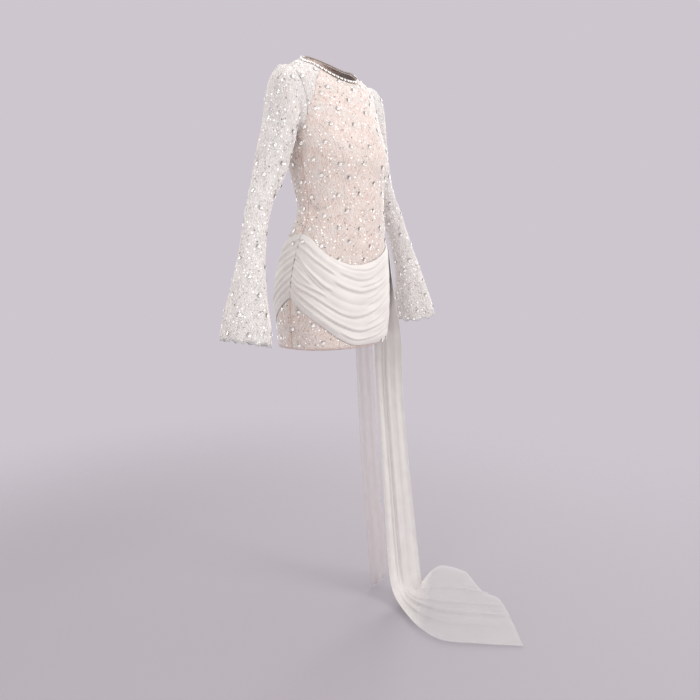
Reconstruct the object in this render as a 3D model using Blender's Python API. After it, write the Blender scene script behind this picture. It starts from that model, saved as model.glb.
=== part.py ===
"""Evening dress: a short lace sheath with bell sleeves, a draped hip swag and a floor-length train.

Metres, +Z up. +X is the wearer's left, -Y the front. The origin is the seat on the shoulders, so the
floor lies SEAT_HEIGHT below it. The tables give heights over the floor.

The body of the dress is one smooth surface, read by an angle round the wearer (0 front, 90 left side,
180 back) and a station up it (one table row a station). Each panel is a patch of it between its seams,
and the drapes are the same surface moved outwards. The right half mirrors the left one.
"""

import math
from collections import namedtuple

import bpy
import numpy as np

for old in list(bpy.data.objects):
    bpy.data.objects.remove(old, do_unlink=True)

SEAT_HEIGHT = 1.540

WALL = 0.0016
CHIFFON_WALL = 0.0012
SEAM_GAP = 0.0003
SQUARENESS = 2.2
NECK_TILT_POWER = 1.15

BodyRing = namedtuple("BodyRing", "front_h side_h back_h half_width front_depth back_depth centre_y")
BODY = (
    BodyRing(0.857, 0.857, 0.852, 0.163, 0.118, 0.122, -0.010),
    BodyRing(0.930, 0.930, 0.930, 0.168, 0.120, 0.124, -0.010),
    BodyRing(1.000, 1.000, 1.000, 0.168, 0.117, 0.123, -0.012),
    BodyRing(1.070, 1.070, 1.070, 0.159, 0.112, 0.117, -0.018),
    BodyRing(1.134, 1.134, 1.134, 0.143, 0.107, 0.108, -0.026),
    BodyRing(1.200, 1.200, 1.200, 0.128, 0.096, 0.092, -0.037),
    BodyRing(1.265, 1.265, 1.265, 0.132, 0.099, 0.098, -0.032),
    BodyRing(1.317, 1.317, 1.317, 0.139, 0.107, 0.110, -0.027),
    BodyRing(1.362, 1.360, 1.365, 0.145, 0.106, 0.112, -0.021),
    BodyRing(1.412, 1.405, 1.418, 0.149, 0.098, 0.106, -0.013),
    BodyRing(1.452, 1.450, 1.468, 0.151, 0.087, 0.094, -0.006),
    BodyRing(1.483, 1.496, 1.514, 0.152, 0.076, 0.082, -0.002),
    BodyRing(1.501, 1.529, 1.548, 0.146, 0.068, 0.073, 0.000),
    BodyRing(1.510, 1.546, 1.569, 0.124, 0.063, 0.066, 0.000),
    BodyRing(1.515, 1.555, 1.583, 0.099, 0.061, 0.062, 0.000),
    BodyRing(1.519, 1.560, 1.592, 0.075, 0.060, 0.060, 0.000),
)
NECK_STATION = len(BODY) - 1

BUST_RISE = 0.008
BUST_ANGLE = 36.0
BUST_ANGLE_SPREAD = 20.0
BUST_HEIGHT = 1.335
BUST_HEIGHT_SPREAD = 0.042

ARMHOLE_STATION = 10.43
ARMHOLE_HALF_STATIONS = 1.87
ARMHOLE_HALF_ANGLE = 26.0
ARMPIT_STATION = ARMHOLE_STATION - ARMHOLE_HALF_STATIONS

SeamPoint = namedtuple("SeamPoint", "station angle")
PRINCESS_SEAM = (
    SeamPoint(0.0, 34.0),
    SeamPoint(5.0, 36.0),
    SeamPoint(7.0, 38.5),
    SeamPoint(8.0, 43.5),
    SeamPoint(8.8, 54.0),
    SeamPoint(9.45, 67.5),
)
SIDE_FRONT_TOP = 9.42
LINING_EDGE = (
    SeamPoint(9.75, 65.8),
    SeamPoint(10.0, 59.5),
    SeamPoint(10.6, 51.5),
    SeamPoint(11.6, 46.0),
    SeamPoint(12.6, 45.5),
    SeamPoint(13.8, 52.0),
    SeamPoint(15.0, 63.8),
)
LINING_START = LINING_EDGE[0].station

YOKE_EDGE_POINTS = 19
YOKE_SPANS = 4
YOKE_TIP_TRIM = 0.2

ZIP_HALF_WIDTH = 0.005
ZIP_END_STATION = 2.4
ZIP_FULL_STATION = 2.8

PANEL_STATIONS = (
    0.0, 1.2, 2.4, 2.8, 4.0, 4.8, 5.6, 6.4, 7.2, 8.0, 8.56, 8.62, 8.9, 9.42,
    9.75, 10.1, 10.9, 12.0, 12.8, 13.7, 15.0,
)
FRONT_CENTRE_COLUMNS = 12
FRONT_SIDE_COLUMNS = 6
BACK_COLUMNS = 10
ZIP_COLUMNS = 2

SleeveRing = namedtuple("SleeveRing", "inner_x inner_h outer_x outer_h y half_depth")
SLEEVE = (
    SleeveRing(0.1500, 1.3845, 0.1600, 1.5385, -0.002, 0.0410),
    SleeveRing(0.1510, 1.3820, 0.1710, 1.5380, -0.001, 0.0440),
    SleeveRing(0.1520, 1.3790, 0.1830, 1.5310, 0.000, 0.0460),
    SleeveRing(0.1530, 1.3750, 0.1930, 1.5150, 0.001, 0.0475),
    SleeveRing(0.1545, 1.3690, 0.1995, 1.4880, 0.002, 0.0485),
    SleeveRing(0.1565, 1.3610, 0.2050, 1.4530, 0.003, 0.0490),
    SleeveRing(0.1600, 1.3480, 0.2140, 1.4080, 0.004, 0.0485),
    SleeveRing(0.1670, 1.3250, 0.2310, 1.3580, 0.006, 0.0465),
    SleeveRing(0.1780, 1.2900, 0.2460, 1.3140, 0.006, 0.0430),
    SleeveRing(0.2000, 1.2520, 0.2620, 1.2800, 0.002, 0.0350),
    SleeveRing(0.2245, 1.2220, 0.2780, 1.2490, -0.002, 0.0305),
    SleeveRing(0.2480, 1.1790, 0.3000, 1.2050, -0.009, 0.0285),
    SleeveRing(0.2640, 1.1380, 0.3165, 1.1600, -0.016, 0.0285),
    SleeveRing(0.2785, 1.0890, 0.3355, 1.1100, -0.024, 0.0305),
    SleeveRing(0.2880, 1.0390, 0.3560, 1.0600, -0.032, 0.0360),
    SleeveRing(0.2920, 0.9880, 0.3760, 1.0110, -0.037, 0.0440),
    SleeveRing(0.2920, 0.9380, 0.3950, 0.9620, -0.042, 0.0535),
    SleeveRing(0.2970, 0.8870, 0.4110, 0.9130, -0.047, 0.0575),
)
FLARE_START = 12
ARMHOLE_EASE = 0.988
ARMHOLE_BLEND_ROWS = 5
SLEEVE_ROWS = (0, 1, 2, 3, 4, 5, 6.5, 8, 9, 10, 11, 12.5, 14, 15, 16, 17)
CUFF_WAVES = 5
CUFF_WAVE_DEPTH = 0.0030
CUFF_EDGE_DEPTH = 0.0030

TRIM_HALF_HEIGHT = 0.0040
TRIM_HALF_THICKNESS = 0.0020
TRIM_SEGMENTS = 44
TRIM_SIDES = 6

SwagEdge = namedtuple("SwagEdge", "angle top_h bottom_h loft fold_depth")
FRONT_SWAG = (
    SwagEdge(-89.8, 1.146, 0.988, 0.0010, 0.0036),
    SwagEdge(-76.0, 1.135, 0.957, 0.0016, 0.0048),
    SwagEdge(-63.0, 1.113, 0.936, 0.0026, 0.0058),
    SwagEdge(-49.0, 1.092, 0.911, 0.0036, 0.0064),
    SwagEdge(-34.0, 1.077, 0.884, 0.0046, 0.0064),
    SwagEdge(-18.0, 1.068, 0.865, 0.0052, 0.0060),
    SwagEdge(0.0, 1.074, 0.862, 0.0054, 0.0054),
    SwagEdge(20.0, 1.092, 0.860, 0.0056, 0.0044),
    SwagEdge(38.0, 1.112, 0.860, 0.0056, 0.0030),
    SwagEdge(56.0, 1.128, 0.864, 0.0042, 0.0018),
    SwagEdge(72.0, 1.137, 0.880, 0.0022, 0.0012),
    SwagEdge(89.0, 1.140, 0.902, 0.0010, 0.0010),
)
BACK_SWAG = (
    SwagEdge(91.0, 1.140, 0.902, 0.0010, 0.0010),
    SwagEdge(108.0, 1.133, 0.893, 0.0016, 0.0014),
    SwagEdge(120.0, 1.127, 0.882, 0.0030, 0.0034),
    SwagEdge(135.0, 1.118, 0.874, 0.0042, 0.0054),
    SwagEdge(160.0, 1.108, 0.868, 0.0050, 0.0060),
    SwagEdge(185.0, 1.105, 0.878, 0.0052, 0.0064),
    SwagEdge(210.0, 1.113, 0.898, 0.0046, 0.0064),
    SwagEdge(232.0, 1.125, 0.922, 0.0034, 0.0060),
    SwagEdge(252.0, 1.138, 0.955, 0.0020, 0.0050),
    SwagEdge(269.8, 1.146, 0.988, 0.0010, 0.0036),
)
SWAG_CLEARANCE = 0.0011
SWAG_FOLDS = 6.0
SWAG_ROWS_PER_FOLD = 4
FRONT_SWAG_COLUMNS = 20
BACK_SWAG_COLUMNS = 18
FOLD_SHIFT = 0.14
FOLD_SHIFT_TURNS = 1.7
FOLD_SHIFT_START = 0.6

TrainHead = namedtuple("TrainHead", "a_angle b_angle drop lift fold")
TrainRow = namedtuple("TrainRow", "a_x a_y b_x b_y h bulge fold lie")
TRAIN_FRONT_HEAD = (
    TrainHead(99.0, 39.0, 0.018, 0.0000, 0.0006),
    TrainHead(98.0, 40.0, 0.045, 0.0006, 0.0014),
    TrainHead(97.0, 43.0, 0.085, 0.0020, 0.0026),
)
TRAIN_FRONT = (
    TrainRow(0.1860, -0.0120, 0.1560, -0.1060, 0.960, 0.006, 0.0040, 0.0),
    TrainRow(0.1840, -0.0120, 0.2000, -0.0980, 0.850, 0.002, 0.0080, 0.0),
    TrainRow(0.1880, -0.0180, 0.2240, -0.0880, 0.700, 0.000, 0.0105, 0.0),
    TrainRow(0.2000, -0.0260, 0.2460, -0.0920, 0.520, 0.000, 0.0115, 0.0),
    TrainRow(0.2120, -0.0330, 0.2720, -0.0970, 0.340, 0.000, 0.0120, 0.0),
    TrainRow(0.2220, -0.0390, 0.3000, -0.1000, 0.180, 0.000, 0.0120, 0.0),
    TrainRow(0.2260, -0.0500, 0.3220, -0.1000, 0.070, 0.000, 0.0120, 0.15),
    TrainRow(0.2140, -0.0780, 0.3520, -0.0900, 0.020, 0.000, 0.0110, 0.70),
    TrainRow(0.1840, -0.1350, 0.3960, -0.0680, 0.004, 0.000, 0.0080, 1.0),
    TrainRow(0.1440, -0.2150, 0.4640, -0.0560, 0.004, 0.000, 0.0070, 1.0),
    TrainRow(0.1350, -0.2950, 0.5160, -0.0620, 0.004, -0.010, 0.0060, 1.0),
    TrainRow(0.1880, -0.3850, 0.5340, -0.1040, 0.004, -0.022, 0.0050, 1.0),
    TrainRow(0.2580, -0.4840, 0.5360, -0.1510, 0.003, 0.000, 0.0030, 1.0),
)
TRAIN_BACK_HEAD = (
    TrainHead(126.0, 101.5, 0.018, -0.0004, 0.0006),
    TrainHead(128.0, 100.5, 0.045, 0.0010, 0.0016),
    TrainHead(130.0, 99.5, 0.085, 0.0040, 0.0030),
)
TRAIN_BACK = (
    TrainRow(0.1780, 0.0560, 0.1950, 0.0080, 0.940, 0.003, 0.0050, 0.0),
    TrainRow(0.1840, 0.0560, 0.2080, 0.0110, 0.800, 0.000, 0.0060, 0.0),
    TrainRow(0.2020, 0.0540, 0.2450, 0.0180, 0.520, 0.000, 0.0075, 0.0),
    TrainRow(0.2280, 0.0500, 0.3020, 0.0340, 0.250, 0.000, 0.0085, 0.0),
    TrainRow(0.2500, 0.0440, 0.3620, 0.0500, 0.006, 0.000, 0.0085, 0.0),
)

FoldLine = namedtuple("FoldLine", "share swing")
TRAIN_FRONT_FOLDS = (
    FoldLine(0.00, 0.30),
    FoldLine(0.09, -0.45),
    FoldLine(0.18, -0.10),
    FoldLine(0.25, 0.85),
    FoldLine(0.30, 0.10),
    FoldLine(0.36, 0.95),
    FoldLine(0.43, -0.70),
    FoldLine(0.60, -0.35),
    FoldLine(0.76, -0.60),
    FoldLine(0.88, -0.15),
    FoldLine(1.00, -0.50),
)
TRAIN_BACK_FOLDS = (
    FoldLine(0.00, -0.40),
    FoldLine(0.18, 0.35),
    FoldLine(0.36, -0.70),
    FoldLine(0.58, 0.30),
    FoldLine(0.78, -0.45),
    FoldLine(1.00, 0.20),
)
EndCut = namedtuple("EndCut", "share out")
TRAIN_FRONT_END = (
    EndCut(0.00, 0.000),
    EndCut(0.24, -0.019),
    EndCut(0.58, -0.038),
    EndCut(0.68, -0.006),
    EndCut(1.00, 0.000),
)
TRAIN_BACK_END = (EndCut(0.0, 0.0), EndCut(1.0, 0.0))
TRAIN_FRONT_COLUMNS = 24
TRAIN_BACK_COLUMNS = 18
TRAIN_FRONT_ROWS = 28
TRAIN_BACK_ROWS = 12

BLUSH = (0.72, 0.52, 0.46)
IVORY_LACE = (0.78, 0.72, 0.68)
CHIFFON = (0.84, 0.78, 0.74)
CRYSTAL = (0.80, 0.80, 0.82)
CLOTH_ROUGHNESS = 0.6
STONE_ROUGHNESS = 0.25
SHARP_EDGE = 50


def smooth(values, station):
    """A Catmull-Rom curve through values that stand one station apart."""
    values = np.asarray(values, float)
    first = 2 * values[0] - values[1]
    last = 2 * values[-1] - values[-2]
    padded = np.concatenate([[first], values, [last]])
    low = np.clip(np.floor(station).astype(int), 0, len(values) - 2)
    f = station - low
    p0, p1, p2, p3 = (padded[low + k] for k in range(4))
    return p1 + 0.5 * f * (p2 - p0 + f * (2 * p0 - 5 * p1 + 4 * p2 - p3 + f * (3 * (p1 - p2) + p3 - p0)))


def column(table, name):
    """One named column of a table."""
    return [getattr(row, name) for row in table]


def along(table, name, key, where):
    """A column of a table, smooth in another column that grows down the table."""
    station = np.interp(where, column(table, key), range(len(table)))
    return smooth(column(table, name), station)


def body_point(angle, station):
    """The body surface at an angle in degrees and a station."""
    angle, station = np.broadcast_arrays(np.asarray(angle, float), np.asarray(station, float))
    side = np.sin(np.radians(angle))
    ahead = np.cos(np.radians(angle))
    ring = {name: smooth(column(BODY, name), station) for name in BodyRing._fields}
    depth = np.where(ahead >= 0, ring["front_depth"], ring["back_depth"])
    x = ring["half_width"] * np.sign(side) * np.abs(side) ** (2 / SQUARENESS)
    y = ring["centre_y"] - depth * np.sign(ahead) * np.abs(ahead) ** (2 / SQUARENESS)
    end_h = np.where(ahead >= 0, ring["front_h"], ring["back_h"])
    z = ring["side_h"] + (end_h - ring["side_h"]) * np.abs(ahead) ** NECK_TILT_POWER
    turn = (np.abs((angle + 180) % 360 - 180) - BUST_ANGLE) / BUST_ANGLE_SPREAD
    rise = (z - BUST_HEIGHT) / BUST_HEIGHT_SPREAD
    y = y - BUST_RISE * np.exp(-turn ** 2 - rise ** 2)
    return np.stack([x, y, z - SEAT_HEIGHT], axis=-1)


def body_normal(angle, station):
    """The body surface's outward unit normal."""
    step_angle = 0.5
    step_station = 0.02
    round_it = body_point(angle + step_angle, station) - body_point(angle - step_angle, station)
    up_it = body_point(angle, station + step_station) - body_point(angle, station - step_station)
    normal = np.cross(round_it, up_it)
    return normal / np.linalg.norm(normal, axis=-1, keepdims=True)


def station_at(height):
    """The station of a height below the armpits, where the rings lie level."""
    stations = np.linspace(0, ARMPIT_STATION, 200)
    return np.interp(height, smooth(column(BODY, "side_h"), stations), stations)


def half_gap(station):
    """Half a seam gap as an angle."""
    return np.degrees(SEAM_GAP / 2 / smooth(column(BODY, "half_width"), station))


def armhole_turn(station):
    """How far the armhole's edge lies from the side seam, in degrees."""
    level = np.clip((station - ARMHOLE_STATION) / ARMHOLE_HALF_STATIONS, -1, 1)
    return ARMHOLE_HALF_ANGLE * np.sqrt(1 - level ** 2)


def seam_angle(points, station):
    return along(points, "angle", "station", station)


def side_edge(station):
    """The outer edge of the lined front: side seam, armhole, then the edge of the lining."""
    edge = np.full_like(station, 90.0)
    on_armhole = (station > ARMPIT_STATION) & (station <= LINING_START)
    on_lining = station > LINING_START
    edge[on_armhole] = 90 - armhole_turn(station[on_armhole])
    edge[on_lining] = seam_angle(LINING_EDGE, station[on_lining])
    return edge


def princess_edge(station):
    return seam_angle(PRINCESS_SEAM, np.minimum(station, PRINCESS_SEAM[-1].station))


def material(name, colour, roughness):
    made = bpy.data.materials.new(name)
    made.use_nodes = True
    shader = made.node_tree.nodes["Principled BSDF"]
    shader.inputs["Base Color"].default_value = (*colour, 1)
    shader.inputs["Roughness"].default_value = roughness
    shader.inputs["Metallic"].default_value = 0.0
    return made


def add_mesh(name, points, faces, colour, roughness):
    mesh = bpy.data.meshes.new(name)
    mesh.from_pydata([tuple(map(float, p)) for p in points], [], faces)
    mesh.update()
    mesh.shade_smooth()
    mesh.set_sharp_from_angle(angle=math.radians(SHARP_EDGE))
    mesh.materials.append(material(name + "_cloth", colour, roughness))
    made = bpy.data.objects.new(name, mesh)
    bpy.context.scene.collection.objects.link(made)
    return made


def edge_faces(a, b, back, from_second):
    """The wall's narrow edge from point a to b. Its diagonal leaves the lower outer point, so that
    the edges of two panels at a seam bend alike."""
    if from_second:
        return [(a, b, back + a), (b, back + b, back + a)]
    return [(a, b, back + b), (a, back + b, back + a)]


def cloth(name, outer, inner, colour, tube=False):
    """A closed wall between two grids of points. Rows run up it, columns run round it to the left."""
    rows, columns = outer.shape[:2]
    points = np.concatenate([outer.reshape(-1, 3), inner.reshape(-1, 3)])
    back = rows * columns
    spans = columns if tube else columns - 1
    faces = []
    for row in range(rows - 1):
        for col in range(spans):
            a = row * columns + col
            b = row * columns + (col + 1) % columns
            c = b + columns
            d = a + columns
            faces.append((a, b, c, d))
            faces.append((back + d, back + c, back + b, back + a))
    top = (rows - 1) * columns
    for col in range(spans):
        a = col
        b = (col + 1) % columns
        rising = col < spans / 2
        faces += edge_faces(b, a, back, rising)
        faces += edge_faces(top + a, top + b, back, not rising)
    if not tube:
        for row in range(rows - 1):
            a = row * columns
            b = a + columns - 1
            faces += edge_faces(a, a + columns, back, False)
            faces += edge_faces(b + columns, b, back, True)
    return add_mesh(name, points, faces, colour, CLOTH_ROUGHNESS)


def grid_normals(grid, tube=False):
    """Unit normals of a grid from its neighbours."""
    if tube:
        round_it = np.roll(grid, -1, axis=1) - np.roll(grid, 1, axis=1)
    else:
        round_it = np.gradient(grid, axis=1)
    up_it = np.gradient(grid, axis=0)
    normal = np.cross(round_it, up_it)
    return normal / np.linalg.norm(normal, axis=-1, keepdims=True)


def mirrored(grid):
    """The same patch on the other side, with its columns still running to the left."""
    return (grid * (-1, 1, 1))[:, ::-1]


def body_patch(angles, stations):
    """The outer and inner points of a wall on the body surface."""
    outer = body_point(angles, stations)
    return outer, outer - WALL * body_normal(angles, stations)


def panel(stations, left_of, right_of, columns):
    """Angles and stations of a panel between two edges that depend on the station."""
    share = np.linspace(0, 1, columns + 1)
    start = right_of(stations) + half_gap(stations)
    stop = left_of(stations) - half_gap(stations)
    angles = start[:, None] + (stop - start)[:, None] * share
    return angles, np.repeat(stations[:, None], columns + 1, axis=1)


def both_sides(name, outer, inner, colour):
    cloth(name + "_left", outer, inner, colour)
    cloth(name + "_right", mirrored(outer), mirrored(inner), colour)


def make_front_centre():
    stations = np.array(PANEL_STATIONS)

    def edge(station):
        below = station <= PRINCESS_SEAM[-1].station
        return np.where(below, princess_edge(station), side_edge(station))

    angles, grid = panel(stations, edge, lambda station: -edge(station), FRONT_CENTRE_COLUMNS)
    cloth("front_centre", *body_patch(angles, grid), BLUSH)


def make_front_sides():
    stations = np.array([s for s in PANEL_STATIONS if s <= SIDE_FRONT_TOP])
    angles, grid = panel(stations, side_edge, princess_edge, FRONT_SIDE_COLUMNS)
    both_sides("front_side", *body_patch(angles, grid), BLUSH)


def zip_edge(station):
    """The angle of the back panels' inner edge, which makes room for the zip tape."""
    room = np.interp(station, (ZIP_END_STATION, ZIP_FULL_STATION), (0.0, ZIP_HALF_WIDTH))
    radius = smooth(column(BODY, "half_width"), station)
    return 180 - np.degrees(room / radius)


def make_backs():
    stations = np.array(PANEL_STATIONS)
    angles, grid = panel(stations, zip_edge, lambda station: 180 - side_edge(station), BACK_COLUMNS)
    both_sides("back", *body_patch(angles, grid), BLUSH)


def make_zip():
    stations = np.array([s for s in PANEL_STATIONS if s >= ZIP_FULL_STATION])
    angles, grid = panel(stations, lambda station: 360 - zip_edge(station), zip_edge, ZIP_COLUMNS)
    cloth("back_zip", *body_patch(angles, grid), BLUSH)


def armhole_points():
    """Turns round the armhole in degrees: -90 armpit, 0 front, 90 shoulder tip, 180 back."""
    stations = [s for s in PANEL_STATIONS if ARMPIT_STATION < s <= LINING_START]
    levels = (np.array(stations) - ARMHOLE_STATION) / ARMHOLE_HALF_STATIONS
    front = np.degrees(np.arcsin(levels))
    return front, 180 - front[::-1]


def yoke_turns():
    front, back = armhole_points()
    return np.linspace(front[-1], back[0], YOKE_EDGE_POINTS)


def make_yokes():
    turns = np.radians(yoke_turns())
    outer_angle = 90 - ARMHOLE_HALF_ANGLE * np.cos(turns)
    outer_station = ARMHOLE_STATION + ARMHOLE_HALF_STATIONS * np.sin(turns)
    rise = np.array([s for s in PANEL_STATIONS if s >= LINING_START])
    edge = seam_angle(LINING_EDGE, rise)
    neck = np.linspace(edge[-1], 180 - edge[-1], YOKE_EDGE_POINTS - 2 * len(rise) + 2)
    inner_angle = np.concatenate([edge, neck[1:-1], 180 - edge[::-1]])
    inner_station = np.concatenate([rise, np.full(len(neck) - 2, NECK_STATION), rise[::-1]])
    for row in (outer_angle, outer_station, inner_angle, inner_station):
        row[0] += YOKE_TIP_TRIM * (row[1] - row[0])
        row[-1] += YOKE_TIP_TRIM * (row[-2] - row[-1])
    share = np.linspace(0, 1, YOKE_SPANS + 1)[:, None]
    width = body_point(inner_angle, inner_station) - body_point(outer_angle, outer_station)
    inset = SEAM_GAP / np.maximum(np.linalg.norm(width, axis=-1), 4 * SEAM_GAP)
    share = inset + (1 - 2 * inset) * share
    angles = outer_angle + (inner_angle - outer_angle) * share
    grid = outer_station + (inner_station - outer_station) * share
    both_sides("yoke", *body_patch(angles, grid), IVORY_LACE)


def sleeve_turns():
    """Turns round the armhole that meet every corner of the panels and the yoke on it."""
    front, back = armhole_points()
    return np.concatenate([[-90.0], front, yoke_turns()[1:-1], back])


def make_sleeves():
    turns = sleeve_turns()
    even = -90 + 360 * np.arange(len(turns)) / len(turns)
    angle = 90 - ARMHOLE_HALF_ANGLE * ARMHOLE_EASE * np.cos(np.radians(turns))
    station = ARMHOLE_STATION + ARMHOLE_HALF_STATIONS * ARMHOLE_EASE * np.sin(np.radians(turns))
    rings = [body_point(angle, station)]
    for row in SLEEVE_ROWS:
        sizes = (float(smooth(column(SLEEVE, name), np.array(row))) for name in SleeveRing._fields)
        ring = SleeveRing(*sizes)
        settle = min(1.0, (row + 1) / ARMHOLE_BLEND_ROWS)
        theta = np.radians(turns + (even - turns) * settle)
        flare = max(0.0, (row - FLARE_START) / (len(SLEEVE) - 1 - FLARE_START))
        swell = 1 + flare * CUFF_WAVE_DEPTH / ring.half_depth * np.cos(CUFF_WAVES * theta)
        across = np.sin(theta) * swell / 2
        x = (ring.inner_x + ring.outer_x) / 2 + (ring.outer_x - ring.inner_x) * across
        z = (ring.inner_h + ring.outer_h) / 2 + (ring.outer_h - ring.inner_h) * across - SEAT_HEIGHT
        if row == SLEEVE_ROWS[-1]:
            z = z + CUFF_EDGE_DEPTH * np.cos(2 * CUFF_WAVES * theta)
        rings.append(np.stack([x, ring.y - ring.half_depth * np.cos(theta) * swell, z], axis=-1))
    outer = np.array(rings)[::-1]
    inner = outer - WALL * grid_normals(outer, tube=True)
    cloth("sleeve_left", outer, inner, IVORY_LACE, tube=True)
    cloth("sleeve_right", mirrored(outer), mirrored(inner), IVORY_LACE, tube=True)


def make_neck_trim():
    turn = np.linspace(0, 360, TRIM_SEGMENTS, endpoint=False)
    centre = body_point(turn, np.full(TRIM_SEGMENTS, float(NECK_STATION)))
    out = np.stack([np.sin(np.radians(turn)), -np.cos(np.radians(turn)), np.zeros(TRIM_SEGMENTS)], axis=-1)
    section = np.radians(np.arange(TRIM_SIDES) * 360 / TRIM_SIDES)
    lift = TRIM_HALF_HEIGHT + SEAM_GAP
    points = []
    for angle in section:
        ring = centre + out * TRIM_HALF_THICKNESS * math.cos(angle)
        points.append(ring + np.array([0, 0, lift + TRIM_HALF_HEIGHT * math.sin(angle)]))
    count = TRIM_SEGMENTS
    faces = []
    for side in range(TRIM_SIDES):
        for step in range(count):
            a = side * count + step
            b = side * count + (step + 1) % count
            above = (side + 1) % TRIM_SIDES * count
            faces.append((a, b, above + (step + 1) % count, above + step))
    add_mesh("neck_trim", np.concatenate(points), faces, CRYSTAL, STONE_ROUGHNESS)


def fold_wave(share, folds):
    """Soft folds from 0 in a valley to 1 on a ridge, of uneven width."""
    shift = FOLD_SHIFT * np.sin(2 * np.pi * share * FOLD_SHIFT_TURNS + FOLD_SHIFT_START)
    uneven = share + shift * share * (1 - share)
    return 0.5 - 0.5 * np.cos(2 * np.pi * folds * uneven)


def make_swag(name, edges, columns):
    """A draped band: folds that run round the hips between its top and bottom edge."""
    angles = np.linspace(edges[0].angle, edges[-1].angle, columns + 1)
    top = along(edges, "top_h", "angle", angles)
    bottom = along(edges, "bottom_h", "angle", angles)
    loft = along(edges, "loft", "angle", angles)
    depth = along(edges, "fold_depth", "angle", angles)
    share = np.linspace(0, 1, int(SWAG_FOLDS * SWAG_ROWS_PER_FOLD) + 1)[:, None]
    height = bottom + (top - bottom) * share
    station = station_at(height)
    angle = np.repeat(angles[None, :], len(share), axis=0)
    lift = SWAG_CLEARANCE + CHIFFON_WALL + loft * np.sqrt(4 * share * (1 - share))
    lift = lift + depth * fold_wave(share, SWAG_FOLDS)
    outer = body_point(angle, station) + lift[..., None] * body_normal(angle, station)
    inner = outer - CHIFFON_WALL * grid_normals(outer)
    cloth(name, outer, inner, CHIFFON)


def head_row(head, share, wave):
    """A row of a train where it is sewn over the ridges of the swags, a drop below their top edge."""
    edges = FRONT_SWAG + BACK_SWAG
    angle = head.a_angle + (head.b_angle - head.a_angle) * share
    swag = {name: along(edges, name, "angle", angle) for name in SwagEdge._fields}
    below_top = head.drop / (swag["top_h"] - swag["bottom_h"])
    ridge = swag["loft"] * np.sqrt(4 * below_top * (1 - below_top)) + swag["fold_depth"]
    lift = SWAG_CLEARANCE + ridge + SEAM_GAP + 2 * CHIFFON_WALL + head.lift + head.fold * (1 + wave)
    station = station_at(swag["top_h"] - head.drop)
    return body_point(angle, station) + lift[:, None] * body_normal(angle, station)


def hanging_row(row, share, wave, cut):
    """A row of a train where it falls free, from a to b, or where it lies on the floor."""
    run_x = row.b_x - row.a_x
    run_y = row.b_y - row.a_y
    run = math.hypot(run_x, run_y)
    swing = row.fold * wave * (1 - row.lie) + 4 * row.bulge * share * (1 - share) + cut
    x = row.a_x + run_x * share - run_y / run * swing
    y = row.a_y + run_y * share + run_x / run * swing
    z = row.h + row.fold * (1 + wave) * row.lie - SEAT_HEIGHT
    return np.stack([x, y, z], axis=-1)


def make_train(name, heads, rows, folds, end, columns, row_count):
    """A falling length of chiffon, in lengthwise folds, from where it is sewn on to its cut end."""
    share = np.linspace(0, 1, columns + 1)
    wave = along(folds, "swing", "share", share)
    cut = along(end, "out", "share", share)
    control = [head_row(head, share, wave) for head in heads]
    control += [hanging_row(row, share, wave, 0 * cut) for row in rows[:-1]]
    control.append(hanging_row(rows[-1], share, wave, cut))
    steps = np.linspace(0, len(control) - 1, row_count + 1)
    flat = np.array(control).reshape(len(control), -1)
    outer = np.stack([smooth(flat[:, k], steps) for k in range(flat.shape[1])], axis=-1)
    outer = outer.reshape(len(steps), len(share), 3)[::-1, ::-1]
    cloth(name, outer, outer - CHIFFON_WALL * grid_normals(outer), CHIFFON)


make_front_centre()
make_front_sides()
make_backs()
make_zip()
make_yokes()
make_sleeves()
make_neck_trim()
make_swag("swag_front", FRONT_SWAG, FRONT_SWAG_COLUMNS)
make_swag("swag_back", BACK_SWAG, BACK_SWAG_COLUMNS)
make_train(
    "train_front", TRAIN_FRONT_HEAD, TRAIN_FRONT, TRAIN_FRONT_FOLDS, TRAIN_FRONT_END,
    TRAIN_FRONT_COLUMNS, TRAIN_FRONT_ROWS,
)
make_train(
    "train_back", TRAIN_BACK_HEAD, TRAIN_BACK, TRAIN_BACK_FOLDS, TRAIN_BACK_END,
    TRAIN_BACK_COLUMNS, TRAIN_BACK_ROWS,
)
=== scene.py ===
"""Evening dress: the looks of its lace, chiffon, sequins and cut stones.

Metres, +Z up, +X the wearer's left, -Y the front, with the origin at the shoulder seat. The body of
the dress is one smooth surface, read by an angle round the wearer (0 front, 90 left side, 180 back)
and a station up it. Lengths in the tables are millimetres, and heights count from the floor.

Lace is drawn on a flat plan in metres, u round the body or sleeve and v up it, and laid on the
surface: cords and flowers as fine tubes, sequins and stones as scattered pieces.
"""

import math
from collections import namedtuple

import bpy
import numpy as np
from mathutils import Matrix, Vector


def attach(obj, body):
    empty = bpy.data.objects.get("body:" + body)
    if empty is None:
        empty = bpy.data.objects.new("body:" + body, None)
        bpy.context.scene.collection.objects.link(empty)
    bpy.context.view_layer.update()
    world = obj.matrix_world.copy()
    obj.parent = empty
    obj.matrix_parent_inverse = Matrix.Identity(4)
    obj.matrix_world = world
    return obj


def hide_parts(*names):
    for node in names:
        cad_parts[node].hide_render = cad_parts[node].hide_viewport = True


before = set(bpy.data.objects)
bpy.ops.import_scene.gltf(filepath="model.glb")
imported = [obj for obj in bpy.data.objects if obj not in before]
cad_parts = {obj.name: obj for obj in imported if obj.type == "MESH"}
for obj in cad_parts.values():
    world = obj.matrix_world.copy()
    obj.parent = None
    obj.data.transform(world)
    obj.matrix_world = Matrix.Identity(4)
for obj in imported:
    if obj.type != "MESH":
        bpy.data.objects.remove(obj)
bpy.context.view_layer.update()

PLAIN_COLUMNS = {"angle", "a_angle", "b_angle", "angles", "percents", "station", "share", "spread", "swing",
                 "lie", "turn"}


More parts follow.
